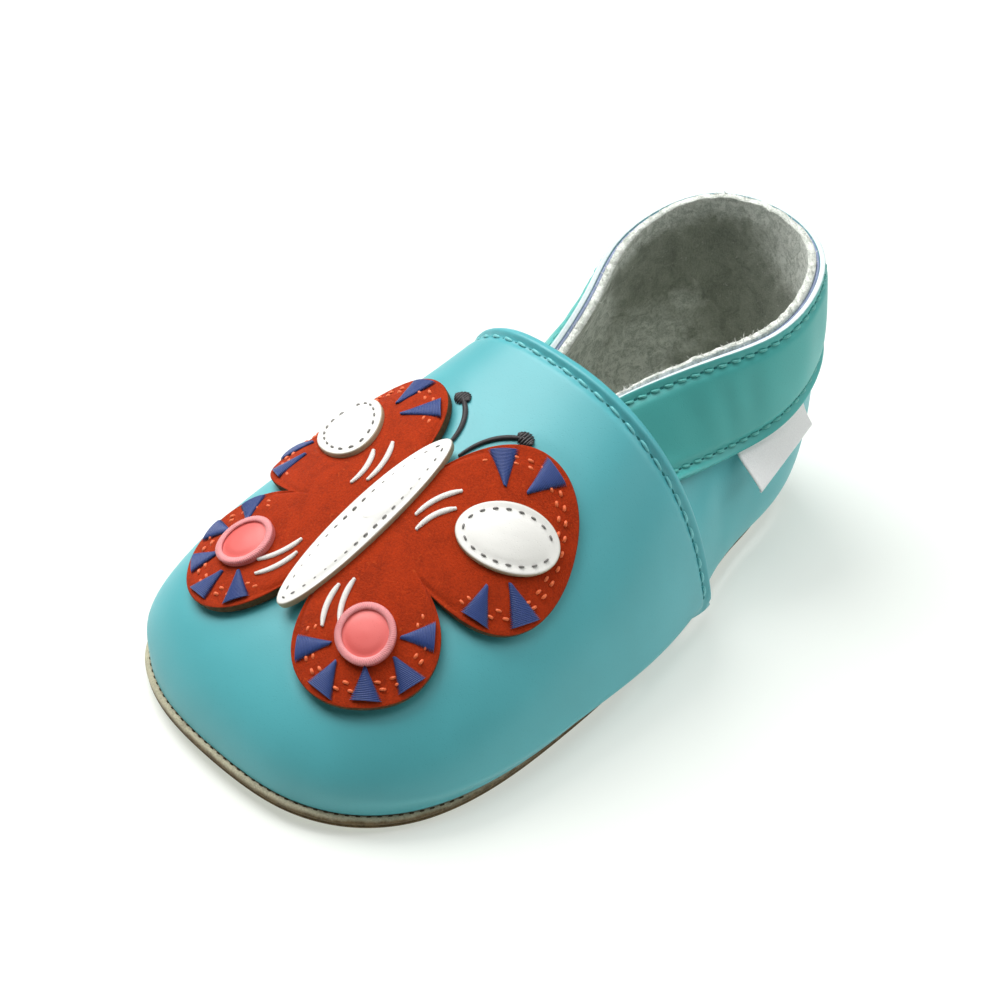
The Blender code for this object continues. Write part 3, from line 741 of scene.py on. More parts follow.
class Finish:
    """A material in the making: its Principled shader, and the nodes that vary it."""

    def __init__(self, name, fixed):
        self.made = bpy.data.materials.new(name)
        self.made.use_nodes = True
        self.tree = self.made.node_tree
        self.shader = self.tree.nodes["Principled BSDF"]
        for socket, value in fixed.items():
            self.feed(self.shader.inputs[socket], value)

    def feed(self, socket, value):
        """Fills a socket with a link or a fixed value."""
        if isinstance(value, Value):
            self.tree.links.new(value.socket, socket)
        else:
            socket.default_value = value

    def node(self, kind, settings=None, sockets=None, out=0):
        """One node: its settings first, then what its sockets take, and the output that is used."""
        node = self.tree.nodes.new("ShaderNode" + kind)
        for key, value in (settings or {}).items():
            setattr(node, key, value)
        for key, value in (sockets or {}).items():
            self.feed(node.inputs[key], value)
        return Value(self, node.outputs[out])

    def place(self):
        """Where a point is on the shoe, in metres."""
        return self.node("TexCoord", out="Object")

    def noise(self, size, detail=2.0, rough=0.5, swirl=0.0):
        """Soft noise with features of a size in millimetres."""
        sockets = {"Vector": self.place(), "Scale": 1 / (size * MM), "Detail": detail}
        return self.node("TexNoise", None, {**sockets, "Roughness": rough, "Distortion": swirl})

    def cells(self, size):
        """Distance from the middles of small cells of a size in millimetres."""
        return self.node("TexVoronoi", None, {"Vector": self.place(), "Scale": 1 / (size * MM)})

    def mark(self, name):
        """A number that the piece's mesh carries."""
        return self.node("Attribute", {"attribute_name": name}, out="Fac")

    def step(self, value, low, high):
        """0 where a value is under low, 1 over high, soft between."""
        sockets = {"Value": value, "From Min": low, "From Max": high}
        return self.node("MapRange", {"interpolation_type": "SMOOTHSTEP"}, sockets)

    def mix(self, share, first, second):
        """One colour fading into another."""
        sockets = {0: share, 6: first, 7: second}
        return self.node("Mix", {"data_type": "RGBA"}, sockets, out=2)

    def bump(self, height, depth, strength=1.0):
        """Feeds the shader's normal from a height of a depth in millimetres."""
        sockets = {"Height": height, "Distance": depth * MM, "Strength": strength}
        self.feed(self.shader.inputs["Normal"], self.node("Bump", None, sockets))

    def colour(self, value):
        self.feed(self.shader.inputs["Base Color"], value)

    def roughness(self, value):
        self.feed(self.shader.inputs["Roughness"], value)


def shade(colour, factor):
    """A colour made darker or lighter."""
    return (*(min(part * factor, 1) for part in colour), 1)


def leather(name, colour, marked_colour=None):
    """Smooth soft leather with fine pores. Where the piece's mark is up, its marked colour shows: a cut
    edge on the band and the ovals, and on the quarter a bluish painted shade line along the collar.
    """
    finish = Finish(name, {"Specular IOR Level": 0.45, "Coat Weight": 0.08, "Coat Roughness": 0.3})
    pores = finish.cells(0.5)
    grain = finish.noise(0.28, 3)
    cloud = finish.noise(16, 2)
    tone = finish.mix(finish.step(cloud, 0.3, 0.7), shade(colour, 0.95), shade(colour, 1.04))
    tone = finish.mix(finish.step(pores, 0.0, 0.25), shade(colour, 0.9), tone)
    if marked_colour:
        marked_tone = finish.mix(finish.noise(0.5, 3), shade(marked_colour, 0.78), shade(marked_colour, 1.1))
        tone = finish.mix(finish.mark("cut_edge_and_painted_light"), tone, marked_tone)
    finish.colour(tone)
    finish.roughness(0.38 + 0.16 * grain)
    finish.bump(finish.step(pores, 0.0, 0.3) * 0.7 + grain * 0.5, 0.03, 0.6)
    return finish.made


def suede(name, colour, fleck, marked_colour=None, mottle=0.5, sheen=0.12):
    """Napped suede: short fibres that catch the light in patches, with pale flecks. Where the piece's mark
    is up its marked colour shows, in patches where the mark is weak: the cut edge of the wings and the
    lining, painted light on the lining's inner walls, and painted shade on the sole's rim."""
    finish = Finish(name, {"Specular IOR Level": 0.12, "Sheen Weight": sheen, "Sheen Roughness": 0.6})
    nap = finish.noise(0.35, 4, 0.7)
    stroke = finish.noise(4.5, 5, 0.65, 0.8)
    tone = finish.mix(finish.step(nap, 0.3, 0.7), shade(colour, 0.74), shade(colour, 1.18))
    tone = finish.mix(finish.step(stroke, 0.35, 0.68) * mottle, tone, shade(colour, 1.55))
    tone = finish.mix(finish.step(stroke, 0.48, 0.3) * mottle, tone, shade(colour, 0.6))
    flecks = finish.step(finish.noise(0.7, 3, 0.5, 1.2), 0.62, 0.74)
    tone = finish.mix(flecks * 0.55, tone, shade(fleck, 1))
    if marked_colour:
        tuft = finish.noise(2.0, 5, 0.65, 1.0)
        edge = finish.mix(finish.step(nap + 1.6 * tuft, 0.95, 1.6), shade(marked_colour, 0.62), shade(marked_colour, 1.2))
        patchy = finish.step(finish.mark("cut_edge_and_painted_light") + 0.9 * stroke, 0.65, 1.25)
        tone = finish.mix(patchy, tone, edge)
    finish.colour(tone)
    finish.roughness(0.9 + 0.1 * nap)
    finish.bump(nap + finish.noise(0.14, 2) * 0.5 + stroke * 2 * mottle, 0.18, 0.9)
    return finish.made


def thread_finish(name, colour):
    """Polyester thread, with the twist's shine broken up."""
    finish = Finish(name, {"Specular IOR Level": 0.5, "Sheen Weight": 0.15})
    twist = finish.noise(0.22, 2)
    finish.colour(finish.mix(twist, shade(colour, 0.75), shade(colour, 1.2)))
    finish.roughness(0.38 + 0.2 * twist)
    finish.bump(twist, 0.05, 0.7)
    return finish.made


def dark_finish(name, colour):
    """The shade in a needle hole."""
    finish = Finish(name, {"Specular IOR Level": 0.1})
    finish.colour(finish.mix(finish.noise(0.4, 2), shade(colour, 0.6), shade(colour, 1.2)))
    finish.roughness(0.9 + 0.1 * finish.noise(0.4, 1))
    return finish.made


def tape_finish(name, colour):
    """Woven tape: fine ribs across it."""
    finish = Finish(name, {"Specular IOR Level": 0.3, "Sheen Weight": 0.2})
    weave = finish.noise(0.25, 2)
    finish.colour(finish.mix(weave, shade(colour, 0.88), shade(colour, 1.05)))
    finish.roughness(0.7 + 0.2 * weave)
    finish.bump(weave, 0.08, 0.8)
    return finish.made


THREAD_COLOURS = {
    "lining_fibre": (0.80, 0.80, 0.76),
    "turquoise_thread": (0.16, 0.56, 0.58),
    "teal_thread": (0.10, 0.47, 0.43),
    "orange_thread": (0.85, 0.15, 0.035),
    "grey_thread": (0.22, 0.21, 0.20),
    "blue_thread": (0.016, 0.048, 0.215),
    "white_thread": (0.82, 0.80, 0.76),
    "rose_thread": (0.86, 0.32, 0.33),
    "dark_thread": (0.018, 0.014, 0.016),
}
FINISHES = {
    "turquoise": leather("vamp_turquoise", (0.088, 0.418, 0.462)),
    # The quarter's bluish marked colour is painted shade along the collar, between band and lining
    "quarter_turquoise": leather("quarter_turquoise", (0.100, 0.452, 0.488), (0.34, 0.40, 0.60)),
    "teal": leather("band_teal", (0.074, 0.432, 0.412), (0.74, 0.83, 0.85)),
    # The sole's dark brown marked colour is painted shade on the rim's lower layer, front and lateral side
    "sole_tan": suede("sole_tan", (0.48, 0.445, 0.315), (0.64, 0.60, 0.46), (0.17, 0.12, 0.06), 0.35),
    # The lining's pale marked colour is its cream cut edge, and painted light on the inner walls
    "lining_grey": suede(
        "lining_grey", (0.385, 0.41, 0.35), (0.74, 0.755, 0.70), (0.81, 0.875, 0.78), 0.45
    ),
    "insole_grey": suede("insole_grey", (0.58, 0.60, 0.53), (0.84, 0.85, 0.78), None, 0.5),
    "wing_orange": suede(
        "wing_orange", (0.37, 0.030, 0.003), (0.55, 0.075, 0.012), (0.10, 0.055, 0.022), 0.3, 0.04
    ),
    "patch_white": leather("patch_white", (0.86, 0.85, 0.81), (0.40, 0.33, 0.21)),
    "patch_pink": leather("patch_pink", (0.74, 0.125, 0.112), (0.62, 0.16, 0.15)),
    # Painted shade in the needle holes
    "needle_hole_shade": dark_finish("needle_hole_shade", (0.032, 0.175, 0.175)),
    "seam_shade": dark_finish("seam_shade", (0.085, 0.065, 0.040)),
    "tape": tape_finish("tape_white", (0.90, 0.90, 0.90)),
    **{name: thread_finish(name, colour) for name, colour in THREAD_COLOURS.items()},
}


def add_camera():
    """The photograph's view of the shoe."""
    turn, rise = math.radians(CAMERA_TURN), math.radians(CAMERA_RISE)
    outward = (math.sin(turn) * math.cos(rise), -math.cos(turn) * math.cos(rise), math.sin(rise))
    target = Vector(to_scene(CAMERA_TARGET))
    data = bpy.data.cameras.new("camera")
    data.lens = CAMERA_LENS
    data.sensor_width = CAMERA_SENSOR
    data.clip_start = 0.01
    camera = bpy.data.objects.new("camera", data)
    camera.location = target + Vector(outward) * CAMERA_DISTANCE * MM
    camera.rotation_euler = (target - camera.location).to_track_quat("-Z", "Y").to_euler()
    bpy.context.scene.collection.objects.link(camera)
    bpy.context.scene.camera = camera


# Lamps: name, place and size in metres, power in watts, colour
LIGHTS = (
    ("key", (-0.68, 0.03, 0.90), 0.95, 16.2, (1.0, 1.0, 0.99)),
    ("over", (0.0, 0.0, 1.15), 0.90, 5.2, (1.0, 1.0, 1.0)),
    ("right_back", (0.60, 0.70, 0.70), 0.90, 4.7, (0.98, 1.0, 0.99)),
)
WORLD_COLOUR = (0.97, 1.0, 0.95, 1)
WORLD_STRENGTH = 0.06
LIGHT_TARGET = (0, 0, 0.02)
FLOOR_SPAN = 40.0
FLOOR_LEVEL = -0.00005
FLOOR_COLOUR = (0.52, 0.53, 0.51, 1)
FLOOR_GLOW = (0.95, 1.0, 0.94, 1)
FLOOR_GLOW_STRENGTH = 0.44


def add_light():
    """Soft studio light: a large lamp from the upper left, weak ones from above and behind, and a
    pale surround."""
    world = bpy.data.worlds.new("studio")
    world.use_nodes = True
    surround = world.node_tree.nodes["Background"].inputs
    surround["Color"].default_value = WORLD_COLOUR
    surround["Strength"].default_value = WORLD_STRENGTH
    bpy.context.scene.world = world
    bpy.context.scene.view_settings.view_transform = "Standard"
    for name, place, size, power, colour in LIGHTS:
        data = bpy.data.lights.new(name, "AREA")
        data.shape = "DISK"
        data.size = size
        data.energy = power
        data.color = colour
        lamp = bpy.data.objects.new(name, data)
        lamp.location = place
        lamp.rotation_euler = (Vector(LIGHT_TARGET) - lamp.location).to_track_quat("-Z", "Y").to_euler()
        bpy.context.scene.collection.objects.link(lamp)


def add_floor():
    """A plain white floor, just under the tread, which glows a little like a light table."""
    fixed = {"Base Color": FLOOR_COLOUR, "Roughness": 0.8, "Specular IOR Level": 0.1}
    glow = {"Emission Color": FLOOR_GLOW, "Emission Strength": FLOOR_GLOW_STRENGTH}
    finish = Finish("floor_white", {**fixed, **glow})
    build = bmesh.new()
    bmesh.ops.create_grid(build, x_segments=8, y_segments=8, size=FLOOR_SPAN / 2)
    bmesh.ops.translate(build, verts=build.verts, vec=(0, 0, FLOOR_LEVEL))
    mesh = bpy.data.meshes.new("floor")
    build.to_mesh(mesh)
    build.free()
    mesh.materials.append(finish.made)
    floor = bpy.data.objects.new("floor", mesh)
    bpy.context.scene.collection.objects.link(floor)


# Rows of the vamp's skin: along it, over its edge, and how they crowd towards that edge
VAMP_ROWS = 96
VAMP_RIM_ROWS = 4
VAMP_BODY_SHARE = 0.94
VAMP_BODY_ROWS = 0.76
VAMP_START = max(TOE_TIP, TOE_LIP)
SKIN_FULL_HEIGHT = 3.0


def vamp_station(v, start, edge):
    """Stations of the vamp's rows: close together at the toe and at the stitched rear edge."""
    body = VAMP_BODY_SHARE * (1 - np.cos(np.minimum(v / VAMP_BODY_ROWS, 1) * math.pi / 2))
    rear = (1 - VAMP_BODY_SHARE) * np.clip((v - VAMP_BODY_ROWS) / (1 - VAMP_BODY_ROWS), 0, 1)
    return start + (body + rear) * (edge - start)


def vamp_skin(cells, rows, short, clear, outer, inner):
    """A closed skin of the vamp: along its outside to the rear edge, over that edge, and back along
    its inside. It thins out to nothing at the seam with the sole, or stays clear of it."""
    last = 2 * rows + VAMP_RIM_ROWS

    def place(u, v):
        angle = clear + u * (math.pi - 2 * clear)
        row = np.rint(v * last)
        out = np.minimum(row, last - row) / rows
        start = VAMP_START + LINING_TOE_GAP * (clear > 0)
        station = vamp_station(np.minimum(out, 1), start, vamp_edge(angle) - short)
        rim = np.clip((row - rows) / VAMP_RIM_ROWS, 0, 1)
        lift = (1 - rim) * outer(station, angle) + rim * inner
        points = vamp_at(station, angle)
        full = smooth(0, SKIN_FULL_HEIGHT, points[:, 2] - seam(station))
        on_rim = np.sin(math.pi * rim) > 0.1
        return points + vamp_normals(station, angle) * (lift * full)[:, None], {"cut_edge_and_painted_light": on_rim}

    return placed_grid((cells, last), place)


def sew(stitches, holes, line, normal, pitch, rise, hole, thread, slot):
    """A row of stitches along a seam as one piece, and the needle holes between them as another: dark sunk
    threads of painted shade.
    """
    paths, normals = stitch_paths(line, normal, pitch, rise)
    threads(stitches, paths, normals, THREAD_RADIUS, thread)
    paths, normals = hole_paths(line, normal, pitch, hole)
    threads(holes, paths, normals, HOLE_RADIUS, "needle_hole_shade", sides=8, flatten=0.5)


def add_vamp():
    """The vamp's leather with its stitched rear edge, and its lining."""
    build = vamp_skin(VAMP_CELLS, VAMP_ROWS, 0, 0, vamp_relief, -LEATHER)
    finished("vamp_leather", build, "turquoise", ["upper"])
    top = -LEATHER - LAYER_GAP
    cells, rows = VAMP_CELLS // 2, VAMP_ROWS // 2
    build = vamp_skin(cells, rows, LINING_SHORT, LINING_CLEAR, lambda station, angle: top, top - LINING)
    finished("vamp_lining", build, "lining_grey", ["upper"])
    normal = vamp_normals(EDGE_LINE_STATION, EDGE_LINE_ANGLE)
    line = EDGE_LINE - normal * (EDGE_GROOVE * EDGE_GROOVE_SHARE)
    row = (line, normal, VAMP_PITCH, VAMP_RISE, VAMP_HOLE)
    sew("vamp_stitches", "vamp_needle_holes", *row, "turquoise_thread", "turquoise_leather")


# The lining's fuzzy upper edge: how far it waves, and its fibres
RIM_WAVE = 0.13
RIM_FIBRES = 900
FIBRE_RADIUS = 0.05
FIBRE_LENGTHS = (0.35, 1.0)
FIBRE_LEAN = 0.6
FIBRE_UP = (0, 0, 0.9)
FIBRE_CURL = 0.3
FIBRE_STEPS = np.linspace(0, 1, 5)

# Ripples of the leather below the band: their height, closeness, middle and reach
QUARTER_RIPPLE = 0.12
QUARTER_RIPPLE_CLOSE = 96
QUARTER_RIPPLE_DROP = BAND_HEIGHT + 3
QUARTER_RIPPLE_REACH = 7

# Drops below the collar between which the quarter leather's top edge fades out of its bluish marked colour:
# painted shade, the shadow line between band and lining
PAINTED_SHADE_LINE_FULL = 0.9
PAINTED_SHADE_LINE_GONE = 1.6

# How far below its edge the lining is painted pale: its cream cut edge at the top, then painted light
# fading down the inner wall
PAINTED_LIGHT_DROP = 9.0

# Places of the inside painted pale, painted light where light falls on the inner walls: around and width,
# drop and depth, strength
PAINTED_LIGHT_PATCHES = (
    (0.44, 0.080, 4.0, 9.5, 1.00),
    (0.79, 0.095, 17.0, 13.0, 1.25),
    (0.665, 0.080, 28.0, 11.0, 1.10),
    (0.60, 0.035, 20.0, 5.0, 0.60),
)


def add_quarter():
    """The quarter's leather below and under the band, and the lining with its fuzzy upper edge."""
    wander = np.random.default_rng(7)
    knots = np.linspace(0, 1, 140)
    rim_wave = wander.normal(0, RIM_WAVE, len(knots))
    ribs = quarter_at(*np.meshgrid(QUARTER_AROUND, RIB_STEPS, indexing="ij"))
    heights = run_length(ribs)[:, -1]

    def outside(u, v):
        drop = RIM_STEP + (1 - v) * (np.interp(u, QUARTER_AROUND, heights) - RIM_STEP)
        ripple = QUARTER_RIPPLE * np.sin(u * QUARTER_RIPPLE_CLOSE)
        ripple = ripple * bell(drop, QUARTER_RIPPLE_DROP, QUARTER_RIPPLE_REACH)
        # The quarter leather's top edge is painted bluish: painted shade in the gap between band and lining
        return on_quarter(u, drop, ripple), {"cut_edge_and_painted_light": smooth(PAINTED_SHADE_LINE_GONE, PAINTED_SHADE_LINE_FULL, drop)}

    def inside(u, v):
        top = -RIM_STEP + np.interp(u, knots, rim_wave)
        drop = top + (1 - v) ** 1.5 * (np.interp(u, QUARTER_AROUND, heights) - top)
        lift = np.full_like(u, -QUARTER_LEATHER - LAYER_GAP)
        # Painted light: the lining paler near its edge and in patches of the inner walls where light falls;
        # the very top is its real cream cut edge
        pale_edge_and_painted_light = smooth(PAINTED_LIGHT_DROP, 0.2, drop) ** 2
        for around, width, low, depth, share in PAINTED_LIGHT_PATCHES:
            pale_edge_and_painted_light = np.maximum(pale_edge_and_painted_light, share * bell(u, around, width) * bell(drop, low, depth))
        return on_quarter(u, drop, lift), {"cut_edge_and_painted_light": pale_edge_and_painted_light}

    build = placed_grid(QUARTER_CELLS, outside)
    piece = finished("quarter_leather", build, "quarter_turquoise", ["upper"])
    thickened(piece, QUARTER_LEATHER)
    build = placed_grid(LINING_CELLS, inside)
    piece = finished("quarter_lining", build, "lining_grey", ["upper"])
    thickened(piece, QUARTER_LINING)
    around = wander.uniform(BAND_FRONT, 1 - BAND_FRONT, RIM_FIBRES)
    lift = -QUARTER_LEATHER - wander.uniform(0.1, QUARTER_LINING, RIM_FIBRES)
    root = on_quarter(around, wander.uniform(-RIM_STEP, 0.2, RIM_FIBRES), lift)
    lean = wander.normal(0, FIBRE_LEAN, (RIM_FIBRES, 3)) + FIBRE_UP
    curl = wander.normal(0, FIBRE_CURL, (RIM_FIBRES, 3))
    length = wander.uniform(*FIBRE_LENGTHS, RIM_FIBRES)[:, None, None]
    step = FIBRE_STEPS[:, None]
    paths = root[:, None] + length * (unit(lean)[:, None] * step + curl[:, None] * step**2)
    normals = np.broadcast_to(unit(np.cross(lean, (1.0, 0.3, 0.0)))[:, None], paths.shape)
    threads("rim_fibres", paths, normals, FIBRE_RADIUS, "lining_fibre", sides=3)


# The band's section, down its outer face and up its inner one: drop, share of the lift, cut edge
BAND_SECTION_COLUMNS = ("share", "drop", "outer", "cut_edge_and_painted_light")
BAND_SECTION = (
    (0.00, 0.12, 1.00, 0.0),
    (0.60, BAND_HEIGHT - 0.3, 1.00, 0.0),
    (0.63, BAND_HEIGHT, 0.70, 0.0),
    (0.66, BAND_HEIGHT, 0.10, 0.0),
    (0.68, BAND_HEIGHT - 0.2, 0.00, 0.0),
    (0.92, 0.12, 0.00, 0.6),
    (0.94, 0.00, 0.12, 1.0),
    (0.98, 0.00, 0.85, 1.0),
    (1.00, 0.12, 1.00, 0.6),
)
BAND_SEAT = 0.04


def band_lift(drop, around):
    """The band's outer face over the quarter: puffed between its two seams."""
    between = np.clip((drop - BAND_TOP_STITCH) / (BAND_LOW_STITCH - BAND_TOP_STITCH), 0, 1)
    puff = BAND_PUFF * np.sin(math.pi * between) ** 0.8
    sway = BAND_RIPPLE_SWAY * np.sin(around * BAND_RIPPLE_SWAY_CLOSE)
    ripple = BAND_RIPPLE * np.sin(around * BAND_RIPPLE_CLOSE + sway) * np.sin(math.pi * between)
    grooves = sum(bell(drop, row, BAND_GROOVE_WIDTH) for row in (BAND_TOP_STITCH, BAND_LOW_STITCH))
    bead = BAND_BEAD * bell(drop, BAND_HEIGHT - BAND_BEAD_UP, BAND_BEAD_WIDTH)
    thin_top = BAND_TOP_THIN * smooth(BAND_TOP_STITCH, 0, drop)
    return BAND_THICKNESS - thin_top + puff + ripple - BAND_GROOVE * grooves + bead


def add_band():
    """The elastic casing round the collar: leather turned at its lower edge, cut at its upper one."""
    shares = column(BAND_SECTION, BAND_SECTION_COLUMNS, "share")
    start = BAND_FRONT - BAND_TUCK

    def section(u, v):
        around = start + v * (1 - 2 * start)
        drop, outer, cut_edge_and_painted_light = (
            np.interp(u, shares, column(BAND_SECTION, BAND_SECTION_COLUMNS, name))
            for name in BAND_SECTION_COLUMNS[1:]
        )
        lift = BAND_SEAT + outer * (SEAT_GAP - BAND_SEAT + band_lift(drop, around))
        return on_quarter(around, drop, lift), {"cut_edge_and_painted_light": smooth(0.5, 0.9, cut_edge_and_painted_light)}

    build = placed_grid(BAND_CELLS, section)
    bmesh.ops.remove_doubles(build, verts=build.verts, dist=1e-6)
    bmesh.ops.holes_fill(build, edges=build.edges, sides=0)
    finished("heel_band_casing", build, "teal", ["heel_band"])
    around = np.linspace(start + 0.002, 1 - start - 0.002, SAMPLES)
    for name, drop in (("upper", BAND_TOP_STITCH), ("lower", BAND_LOW_STITCH)):
        drops = np.full_like(around, drop)
        lift = SEAT_GAP + band_lift(drops, around)
        line = on_quarter(around, drops, lift)
        normal = unit(on_quarter(around, drops, lift + 1) - line)
        row = (line, normal, BAND_PITCH, BAND_RISE, BAND_HOLE)
        sew(f"band_{name}_stitches", f"band_{name}_holes", *row, "teal_thread", "teal_leather")


# Dark dots in the seam round the toe, painted shade of its stitch holes: their reach, the lip that shows
# them, how far out and up they lie
SEAM_SPAN = 0.2
SEAM_SHOWN = 0.15
SEAM_OUT = 0.1
SEAM_OVER = 0.05
SEAM_FACING_UP = 40

# Painted shade: the rim darkens at its front and lateral side, away from the light, round a height, on the
# rings that lie within an inset
RIM_SHADE = 0.85
RIM_SHADE_HEIGHT = 1.8
RIM_SHADE_WIDTH = 0.8
RIM_SHADE_START = 0.9
RIM_INSET = 0.5


def outline_ring(u, inset, height, with_lip):
    """Points round the sole's outline, moved in and set at a height over the sole's underside. Both
    sides have their points at the same stations, so that strips can join them."""
    points = np.empty((len(u), 3))
    for value in np.unique(np.round(inset, 6)):
        here = np.abs(inset - value) < 1e-5
        ring = inset_outline(value, with_lip)
        low, high = ring[:, 1].min(), ring[:, 1].max()
        half = 1 - np.abs(2 * u[here] - 1)
        station = low + (high - low) * (1 - np.cos(half * math.pi)) / 2
        lateral, medial = across_at(ring, station)
        points[here, 0] = np.where(u[here] < 0.5, lateral, medial)
        points[here, 1] = station
    points[:, 2] = spring(points[:, 1]) + height
    return points


def slab(cells, profile, with_lip):
    """A closed slab with the sole's outline: profile gives, from the underside's middle to the top's, how
    much of the half width is left, the inset and the height of each ring, and how much painted shade
    darkens its lower layer."""
    last = len(profile) - 1
    width, inset, height, cut_edge_and_painted_light = np.array(profile).T

    def place(u, v):
        row = np.rint(v * last).astype(int)
        points = outline_ring(u, inset[row], height[row], with_lip)
        mirror = outline_ring(1 - u, inset[row], height[row], with_lip)
        middle = (points[:, 0] + mirror[:, 0]) / 2
        points[:, 0] = middle + (points[:, 0] - middle) * width[row]
        # Painted shade: the rim's front and lateral side darkened round a height, on top of the painted
        # shade of its lower layer
        shaded = RIM_SHADE * bell(height[row], RIM_SHADE_HEIGHT, RIM_SHADE_WIDTH) * (inset[row] < RIM_INSET)
        shaded = shaded * np.where(u < 0.5, 1, smooth(RIM_SHADE_START, 1, u))
        return points, {"cut_edge_and_painted_light": cut_edge_and_painted_light[row] + (1 - cut_edge_and_painted_light[row]) * shaded}

    return placed_grid((cells, last), place)


# Rings of the sole and the insole: share of the half width, inset, height, share of painted shade on the
# rim's lower layer
SOLE_PROFILE = (
    *((share, SOLE_EDGE_ROLL, 0.0, 0.0) for share in (0.0, 0.35, 0.7, 0.92, 1.0)),
    (1.0, 1.40, 0.12, 0.0),
    (1.0, 0.72, 0.42, 0.5),
    (1.0, 0.28, 0.84, 0.9),
    (1.0, 0.10, 1.20, 1.0),
    (1.0, 0.26, 1.36, 1.0),
    (1.0, 0.30, 1.48, 0.7),
    (1.0, 0.06, 1.66, 0.0),
    (1.0, 0.00, 1.95, 0.0),
    (1.0, 0.06, 2.30, 0.0),
    (1.0, 0.26, 2.62, 0.0),
    (1.0, 0.62, 2.78, 0.0),
    (1.0, 1.10, 2.80, 0.0),
    (1.0, 2.40, 2.74, 0.0),
    (0.90, 2.40, 2.70, 0.0),
    (0.45, 2.40, 2.70, 0.0),
    (0.00, 2.40, 2.70, 0.0),
)

# The insole's edge reaches the lining, further out than the part's solid
INSOLE_EDGE = 2.7
INSOLE_BASE = SOLE_THICKNESS + SEAT_GAP
INSOLE_TOP = INSOLE_BASE + INSOLE_THICKNESS
INSOLE_PROFILE = (
    *((share, INSOLE_INSET, INSOLE_BASE, 0.0) for share in (0.0, 0.6, 1.0)),
    (1.00, INSOLE_EDGE, INSOLE_BASE + 0.4, 0.0),
    (1.00, INSOLE_EDGE + 0.1, INSOLE_TOP - 0.3, 0.0),
    *((share, INSOLE_EDGE + 0.5, INSOLE_TOP, 0.0) for share in (1.0, 0.94, 0.8, 0.6, 0.4, 0.2, 0.0)),
)


def add_sole():
    """The suede sole with its two-layer rim, the lower layer darkened with painted shade, the seam's dark
    dots of painted shade, and the insole.
    """
    build = slab(SOLE_CELLS, SOLE_PROFILE, with_lip=False)
    finished("suede_sole", build, "sole_tan", ["sole"])
    build = slab(INSOLE_CELLS, INSOLE_PROFILE, with_lip=True)
    finished("suede_insole", build, "insole_grey", ["insole"])
    # Painted shade: dark dots in the seam between the upper and the sole, where its stitch holes lie
    turn = np.linspace(-SEAM_SPAN, SEAM_SPAN, SAMPLES) % 1
    line = outline_ring(turn, np.full_like(turn, -SEAM_OUT), SOLE_THICKNESS + SEAM_OVER, with_lip=True)
    line = line[lip(line[:, 1]) > SEAM_SHOWN]
    facing_up = np.full(len(line), SEAM_FACING_UP)
    normal = unit(np.stack([line[:, 0], line[:, 1] - SOLE_LENGTH / 2, facing_up], -1))
    paths, normals = stitch_paths(line, normal, SEAM_PITCH, SEAM_RISE, share=0.5, slant=0.0)
    threads("sole_seam_hole_shade", paths, normals, SEAM_THREAD, "seam_shade", sides=5)


def add_tag():
    """The blank tape tag, folded at its lower edge and caught under the band."""
    places = np.linspace(TAG_FRONT, 0.5, SAMPLES // 4)
    seam_run = run_length(on_quarter(places, np.full_like(places, BAND_HEIGHT), np.zeros_like(places)))
    knots, drops, lifts = (column(TAG_SECTION, TAG_SECTION_COLUMNS, name) for name in TAG_SECTION_COLUMNS)

    def hung(u, v):
        """The tape as it hangs on the heel's curve, and how far down each place of it is."""
        around = np.interp(TAG_WIDTH * u, seam_run, places)
        drop = np.interp(v, knots, drops)
        share = np.clip(drop / TAG_HEIGHT, 0, 1)
        stand = (TAG_FRONT_LIFT + (TAG_BACK_LIFT - TAG_FRONT_LIFT) * u) * share**1.5
        opened = (1 - u) ** 3 * TAG_OPENING * np.sin(math.pi * share)
        lift = TAG_SEAT + stand + np.interp(v, knots, lifts) * (1 + opened)
        down = drop * (1 - TAG_BACK_SHORT * u)
        return on_quarter(around, BAND_HEIGHT + SEAT_GAP + down, lift), share

    ends = hung(np.array([0.0, 1.0]), np.full(2, TAG_FOLD))[0]

    def place(u, v):
        """The tape with its lower edge drawn straight between its two ends."""
        u = u + TAG_LAYER_INSET * (1 - u) * smooth(0.51, 0.6, v)
        points, share = hung(u, v)
        fold = hung(u, np.full_like(u, TAG_FOLD))[0]
        straight = ends[0] + (ends[1] - ends[0]) * u[..., None]
        return points + (straight - fold) * share[..., None], {}

    build = placed_grid(TAG_CELLS, place)
    tape = finished("tape_tag", build, "tape", ["tag"])
    thickened(tape, TAPE_THICKNESS, offset=0)


def motif_outline(row, count):
    """Points round one leather oval of the applique."""
    across, along, half_length, half_width, turn = row[1:]
    angle = np.linspace(0, 2 * math.pi, count, endpoint=False)
    lengthwise, crosswise = half_length * np.cos(angle), half_width * np.sin(angle)
    cosine, sine = math.cos(math.radians(turn)), math.sin(math.radians(turn))
    return np.column_stack(
        [across + lengthwise * cosine - crosswise * sine, along + lengthwise * sine + crosswise * cosine]
    )


def wing_outline(count):
    """Points round the wings, evenly spaced."""
    direction = np.linspace(-180, 180, 20 * SAMPLES + 1)
    reach = wing_reach(direction)
    fine = np.column_stack([reach * np.sin(np.radians(direction)), reach * np.cos(np.radians(direction))])
    at = np.linspace(0, 1, count, endpoint=False) * run_length(fine)[-1]
    return np.column_stack([np.interp(at, run_length(fine), fine[:, i]) for i in range(2)])


# Motifs: the groove that their stitches press in, and the crown of the middle with its reach
PAD_GROOVE = 0.22
PAD_GROOVE_WIDTH = 0.7
PAD_CROWN = 0.18
PAD_CROWN_REACH = 4


